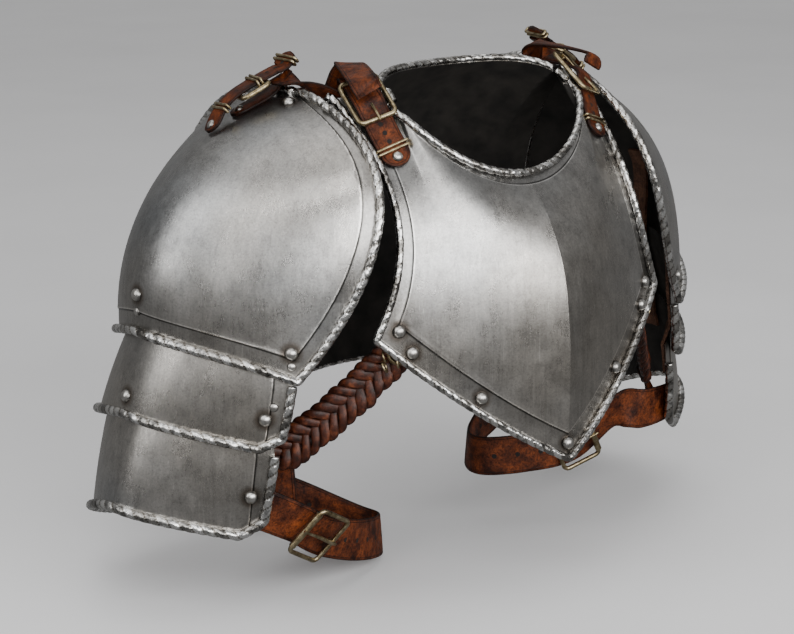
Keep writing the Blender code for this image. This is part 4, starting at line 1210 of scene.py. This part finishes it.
def leather_material(name, dark, light, edged=True):
    """Worn leather with a fine grain, dark edges and a line pressed in beside them."""
    material, tree, shader, where = start_material(name)
    colour = ramp(tree, noise(tree, where, 75.0, 6.0, 0.65), ((0.36, dark), (0.68, light)))
    colour = shade(tree, colour, noise(tree, where, 520.0, 4.0, 0.65), (
        (0.34, 0.30), (0.62, 1.15)), 0.9)
    cells = add_node(tree, "ShaderNodeTexVoronoi", {"Vector": where, "Scale": 850.0},
                     feature="DISTANCE_TO_EDGE").outputs["Distance"]
    grain = math_node(tree, "ADD", math_node(tree, "MULTIPLY", cells, 1.4),
                      noise(tree, where, 240.0, 5.0, 0.65))
    if edged:
        edge = attribute(tree, "edge", 0.0, 0.004)
        colour = shade(tree, colour, edge, (
            (0.0, 0.10), (0.26, 0.50), (0.46, 1.0), (0.56, 0.30), (0.64, 0.34), (0.78, 1.0)))
        grain = math_node(tree, "ADD", grain, ramp(tree, edge, (
            (0.0, 0.0), (0.30, 1.0), (0.46, 1.0), (0.58, 0.0), (0.64, 0.0), (0.76, 1.0))))
    feed(tree, shader, {
        "Base Color": colour, "Specular IOR Level": 0.20,
        "Roughness": spread(tree, noise(tree, where, 140.0, 4.0), 0.42, 0.66),
        "Normal": bump(tree, grain, 0.00030, 0.8)})
    return material


def plait_material():
    """The strands of the plait: redder and shinier, with painted shade where they dive under each
    other and on their flanks.
    """
    material, tree, shader, where = start_material("leather_plait")
    colour = ramp(tree, noise(tree, where, 160.0, 5.0, 0.65), (
        (0.34, (0.010, 0.003, 0.0015)), (0.52, (0.050, 0.011, 0.004)),
        (0.76, (0.17, 0.044, 0.012))))
    colour = shade(tree, colour, attribute(tree, "height", -1.0, 1.0), (
        (0.0, 0.25), (0.60, 1.0)))
    colour = shade(tree, colour, attribute(tree, "flank", 0.0, 1.0), ((0.60, 1.0), (1.0, 0.25)))
    feed(tree, shader, {
        "Base Color": colour, "Roughness": 0.42, "Specular IOR Level": 0.35,
        "Normal": bump(tree, noise(tree, where, 420.0, 5.0, 0.7), 0.00035, 0.9)})
    return material


def brass_material():
    material, tree, shader, where = start_material("brass_dull")
    colour = ramp(tree, noise(tree, where, 210.0, 5.0, 0.62), (
        (0.28, (0.13, 0.095, 0.050)), (0.50, (0.36, 0.29, 0.17)), (0.74, (0.66, 0.57, 0.38))))
    feed(tree, shader, {
        "Base Color": colour, "Metallic": 1.0,
        "Roughness": spread(tree, noise(tree, where, 150.0, 4.0), 0.26, 0.46),
        "Normal": bump(tree, noise(tree, where, 600.0, 4.0), 0.00015, 0.7)})
    return material


def plain_material(name, scale, low, high, roughness):
    """A dull material of two close colours."""
    material, tree, shader, where = start_material(name)
    colour = ramp(tree, noise(tree, where, scale, 3.0), ((0.3, low), (0.7, high)))
    feed(tree, shader, {"Base Color": colour, "Roughness": roughness})
    return material


plate_steel = steel_material()
inside_painted_shade = inside_material()
rope_steel = rope_material()
rivet_steel = rivet_material()
strap_leather = leather_material("leather_strap", (0.024, 0.0045, 0.0015), (0.185, 0.041, 0.008))
back_leather = leather_material("leather_inner", (0.050, 0.022, 0.013), (0.13, 0.060, 0.034),
                                edged=False)
plait_leather = plait_material()
brass_metal = brass_material()
# Near-black discs of the holes: painted shade
hole_painted_shade = plain_material("hole_painted_shade", 900.0, (0.004, 0.003, 0.002), (0.012, 0.007, 0.005), 0.9)

# The plates


def body_piece(kind, place, studs):
    """Breast or back plate with its roped edges."""
    inside = chest_middle()
    fine_plate(kind, place, inside, 1.0, (BORDER, BREAST_BORDER, NECK_BORDER), *BODY_GRID,
               kind, studs, narrow=True, keel=kind == "breast_plate")
    rope(f"{kind}_rope", place, inside, OPEN_EDGE, False, kind, BODY_GIRTH)
    neck = [(u * SEAM_SHARE, 1) for u in ACROSS_SHARES]
    rope(f"{kind}_neck_rope", place, inside, neck, False, kind, BODY_GIRTH)


def dome_piece(name, side, studs):
    """Top plate of a pauldron, roped all round."""
    place, inside = dome_surface(side), arm_middle(side)
    fine_plate(name, place, inside, 1.0, (BORDER, DOME_LOW_BORDER, BORDER), *DOME_GRID, name,
               studs)
    chain = [(u, 0) for u in ACROSS_SHARES] + [(1, v) for v in EDGE_SHARES[1:]]
    chain += [(u, 1) for u in ACROSS_SHARES[-2::-1]] + [(-1, v) for v in EDGE_SHARES[-2:0:-1]]
    rope(f"{name}_rope", place, inside, chain, True, name)


def lame_piece(name, index, side, studs):
    """One of the lower plates, roped where it shows."""
    place, inside = lame_surface(index, side), arm_middle(side)
    fine_plate(name, place, inside, LAME_TOP, (LAME_BORDER, None, None), *LAME_GRID, name, studs)
    rope(f"{name}_rope", place, inside, OPEN_EDGE, False, name, LAME_GIRTH)


def pauldron_plates(side_name, side):
    """Dome and lames of a pauldron with their rivets."""
    seats = {name: (index, pauldron_point(index, side, u, v, PLATE / 2))
             for name, index, u, v in PAULDRON_STUDS}
    marks = [[seat[0] for index, seat in seats.values() if index == plate] for plate in range(3)]
    dome_piece(f"dome_{side_name}", side, marks[0])
    lame_piece(f"upper_lame_{side_name}", 1, side, marks[1])
    lame_piece(f"lower_lame_{side_name}", 2, side, marks[2])
    for name, index, u, v in SMALL_STUDS:
        stud(f"stud_{name}_{side_name}", SMALL_STUD,
             pauldron_point(index, side, u, v, PLATE / 2))
    for name, (_, seat) in seats.items():
        stud(f"stud_{name}_{side_name}", BIG_STUD, seat, (f"rivet_{name}_{side_name}",))


# The straps


def strap_holes(name, line, shares, radius):
    """A row of holes along a strap."""
    dots(name, [strap_seat(line, share, 0.0, STRAP_TOP + HOLE_LIFT) for share in shares], radius)


def shoulder_set(side_name, side):
    """Shoulder strap, its buckle and the strap it comes from."""
    front = shoulder_line(SHOULDER_FRONT, side, STATIONS)
    back = shoulder_line(SHOULDER_BACK, side, STATIONS)
    width = SHOULDER_STRAP_WIDTH + SHOULDER_OVER
    strap(f"strap_shoulder_{side_name}", front, width, f"shoulder_strap_{side_name}")
    strap(f"strap_chape_{side_name}", back, SHOULDER_STRAP_WIDTH + CHAPE_OVER,
          f"shoulder_chape_{side_name}", ends=(False, True))
    buckle(f"buckle_shoulder_{side_name}", front, SHOULDER_BUCKLE_SHARES, SHOULDER_STRAP_WIDTH,
           1.0, BUCKLE_SEAT, f"shoulder_buckle_{side_name}")
    strap_holes(f"holes_shoulder_{side_name}", front, SHOULDER_HOLES, HOLE_RADIUS["shoulder"])
    stud(f"stud_shoulder_{side_name}", SHOULDER_STUD,
         strap_seat(front, SHOULDER_RIVET, 0.0, STRAP_TOP))
    stud(f"stud_chape_{side_name}", SHOULDER_STUD, strap_seat(back, CHAPE_RIVET, 0.0, STRAP_TOP))
    keeper(f"keeper_shoulder_{side_name}", front, SHOULDER_KEEPER, width)


def pauldron_set(side_name, side):
    """The two straps and the buckle on top of a dome."""
    lower = [back_point(side * u * DOME_EDGE_REACH, v, STRAP_ON_ROLL * lift)
             for v, u, lift in PAULDRON_LOWER_BACK]
    lower += [pauldron_point(0, side, u, v, STRAP_ON_ROLL * lift)
              for v, u, lift in PAULDRON_LOWER_DOME]
    line = strap_line(*zip(*lower), LOWER_STATIONS)
    width = PAULDRON_STRAP_WIDTH + PAULDRON_OVER
    strap(f"strap_pauldron_{side_name}", line, width, f"pauldron_strap_{side_name}")
    stud(f"stud_pauldron_{side_name}", PAULDRON_STUD,
         strap_seat(line, PAULDRON_RIVET, 0.0, STRAP_TOP))
    upper = [pauldron_point(0, side, u, v, STRAP_ON_ROLL * lift)
             for v, u, lift in PAULDRON_UPPER]
    end, normal = upper[-1]
    upper.append((end + np.array([-side * TIP_RISE, 0, TIP_RISE]), normal))
    line = strap_line(*zip(*upper), STATIONS)
    strap(f"strap_billet_{side_name}", line, width, f"pauldron_billet_{side_name}")
    buckle(f"buckle_pauldron_{side_name}", line, PAULDRON_BUCKLE_SHARES, PAULDRON_STRAP_WIDTH,
           -1.0, BUCKLE_SEAT, f"pauldron_buckle_{side_name}", tongue=False)
    stud(f"stud_billet_{side_name}", PAULDRON_STUD,
         strap_seat(line, BILLET_RIVET, 0.0, STRAP_TOP))
    for number, share in enumerate(BILLET_KEEPERS, start=1):
        keeper(f"keeper_billet_{number}_{side_name}", line, share, width)
    strap_holes(f"holes_billet_{side_name}", line, BILLET_HOLES, HOLE_RADIUS["billet"])


def arm_set(side_name, line):
    """Arm strap with its holes, on both of its faces, and its buckle."""
    strap(f"strap_arm_{side_name}", line, ARM_STRAP_WIDTH, f"arm_strap_{side_name}",
          ends=(False, False))
    buckle(f"buckle_arm_{side_name}", line, ARM_BUCKLE_SHARES[side_name], ARM_STRAP_WIDTH, 1.0,
           ARM_BUCKLE_SEAT[side_name], f"arm_buckle_{side_name}", roller=True)
    lift = STRAP_TOP + HOLE_LIFT
    outside = [strap_seat(line, share, 0.0, lift) for share in ARM_HOLES]
    inside = [strap_seat(line, share, 0.0, -lift) for share in ARM_HOLES]
    dots(f"holes_arm_{side_name}", outside + [(point, -normal) for point, normal in inside],
         HOLE_RADIUS["arm"])


def underarm_set(side_name, side, arm):
    """Ring, plait and tab under an arm."""
    corner_u = RING_PLACE[0] * side
    normal = surface_normal(breast_surface, corner_u, RING_PLACE[1], chest_middle())
    corner = breast_surface(corner_u, RING_PLACE[1])
    middle = corner - normal * (PLATE / 2 + CONTACT + RING_WIRE)
    add_piece(f"ring_{side_name}",
              *tube(circle(middle, normal, RING_RADIUS, 40), RING_WIRE * RING_GIRTH, True, 12),
              [brass_metal], "brass", (f"underarm_ring_{side_name}",))
    start = corner - normal * (PLATE / 2 + 2 * CONTACT + 2 * RING_WIRE
                               + PLAIT_TUCK * PLAIT_DEPTH)
    end = lower_edge(1, side, -1.0) + PLAIT_END * (side, 1, 1)
    way = end - start
    facing = PLAIT_FACING * (side, 1, 1)
    points = [start, *(start + way * share + PLAIT_SAG for share in PLAIT_STOPS), end]
    braid(f"plait_{side_name}", strap_line(points, [normal, facing, facing, facing], STATIONS),
          f"underarm_plait_{side_name}")
    for number, (share, offset) in enumerate(LINKS, start=1):
        hub = start + way * share + facing * (PLAIT_DEPTH / 2 + LINK_LIFT)
        hub = hub + np.cross(unit(way), facing) * offset
        axis = np.cross(facing, (0.2, 0.3 * number, 1.0))
        add_piece(f"link_{number}_{side_name}",
                  *tube(circle(hub, axis, LINK_RADIUS, 24), LINK_WIRE, True, 8),
                  [brass_metal], "brass")
    seat, outward = strap_seat(arm, TAB_SHARE[side_name], 0.0, -(LEATHER + TAB_CLEARANCE))
    head = end - way * TAB_HEAD - facing * (PLAIT_DEPTH / 2 + LEATHER / 2 + 3 * CONTACT)
    points = [head, (head + seat) / 2 + TAB_BOW, seat,
              seat - np.array([0, 0, ARM_STRAP_WIDTH * TAB_HANG])]
    tab = strap_line(points, [facing, facing, outward, outward], TAB_STATIONS)
    strap(f"tab_{side_name}", tab, TAB_WIDTH, f"underarm_tab_{side_name}")


breast_studs = {"breast_point": BREAST_POINT_STUD}
for side_name, side in SIDES.items():
    for name, (u, v) in BREAST_STUDS.items():
        breast_studs[f"{name}_{side_name}"] = (side * u, v)
breast_seats = {name: breast_point(u, v, PLATE / 2) for name, (u, v) in breast_studs.items()}
body_piece("breast_plate", breast_surface, [seat[0] for seat in breast_seats.values()])
body_piece("back_plate", back_surface, [])
for name, seat in breast_seats.items():
    stud(f"stud_{name}", BIG_STUD, seat, (f"rivet_{name}",))
for side_name, side in SIDES.items():
    pauldron_plates(side_name, side)
    shoulder_set(side_name, side)
    pauldron_set(side_name, side)
    arm = arm_line(side_name, side, ARM_STATIONS)
    arm_set(side_name, arm)
    underarm_set(side_name, side, arm)
for name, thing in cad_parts.items():
    if name.startswith("inner_leather"):
        for slot_of_node in thing.material_slots:
            slot_of_node.material = back_leather

# Floor, lights and camera

bpy.ops.mesh.primitive_plane_add(size=FLOOR_SIZE, location=(0, 0, FLOOR_HEIGHT))
floor = bpy.context.object
floor.name = "floor"
floor.data.materials.append(plain_material("floor_pale", 3.0, (0.80, 0.797, 0.803),
                                           (0.84, 0.837, 0.843), 0.85))
floor.visible_glossy = False

world = bpy.data.worlds.new("studio")
world.use_nodes = True
sky_tree = world.node_tree
direction = add_node(sky_tree, "ShaderNodeTexCoord").outputs["Generated"]
height = add_node(sky_tree, "ShaderNodeSeparateXYZ", {"Vector": direction}).outputs["Z"]
feed(sky_tree, sky_tree.nodes["Background"], {
    "Color": ramp(sky_tree, height, SKY_STOPS), "Strength": SKY_STRENGTH})
bpy.context.scene.world = world


def direction_to(azimuth, elevation):
    """Direction from the part at an azimuth, counted from the front, and an elevation."""
    turn, tilt = math.radians(azimuth), math.radians(elevation)
    return Vector((math.sin(turn) * math.cos(tilt), -math.cos(turn) * math.cos(tilt),
                   math.sin(tilt)))


for name, (azimuth, elevation, size, radiance) in LIGHTS.items():
    light = bpy.data.lights.new(name, "AREA")
    light.shape = "RECTANGLE"
    light.size, light.size_y = size
    light.energy = radiance * math.pi * size[0] * size[1]
    thing = bpy.data.objects.new(name, light)
    thing.location = Vector(LIGHT_TARGET) + direction_to(azimuth, elevation) * LIGHT_DISTANCE
    aim = Vector(LIGHT_TARGET) - thing.location
    thing.rotation_euler = aim.to_track_quat("-Z", "Y").to_euler()
    bpy.context.scene.collection.objects.link(thing)

camera_data = bpy.data.cameras.new("camera")
camera = bpy.data.objects.new("camera", camera_data)
bpy.context.scene.collection.objects.link(camera)
camera_data.sensor_width = SENSOR_WIDTH
camera_data.lens = CAMERA_FOCAL * SENSOR_WIDTH / PHOTO_WIDTH
camera_data.clip_end = CAMERA_FAR
backward = direction_to(-CAMERA_TURN, CAMERA_TILT)
turn = math.radians(CAMERA_TURN)
rightward = Vector((math.cos(turn), -math.sin(turn), 0.0))
upward = backward.cross(rightward)
camera.matrix_world = (Matrix.Translation(Vector(CAMERA_EYE))
                       @ Matrix((rightward, upward, backward)).transposed().to_4x4())
bpy.context.scene.camera = camera

bpy.context.view_layer.update()
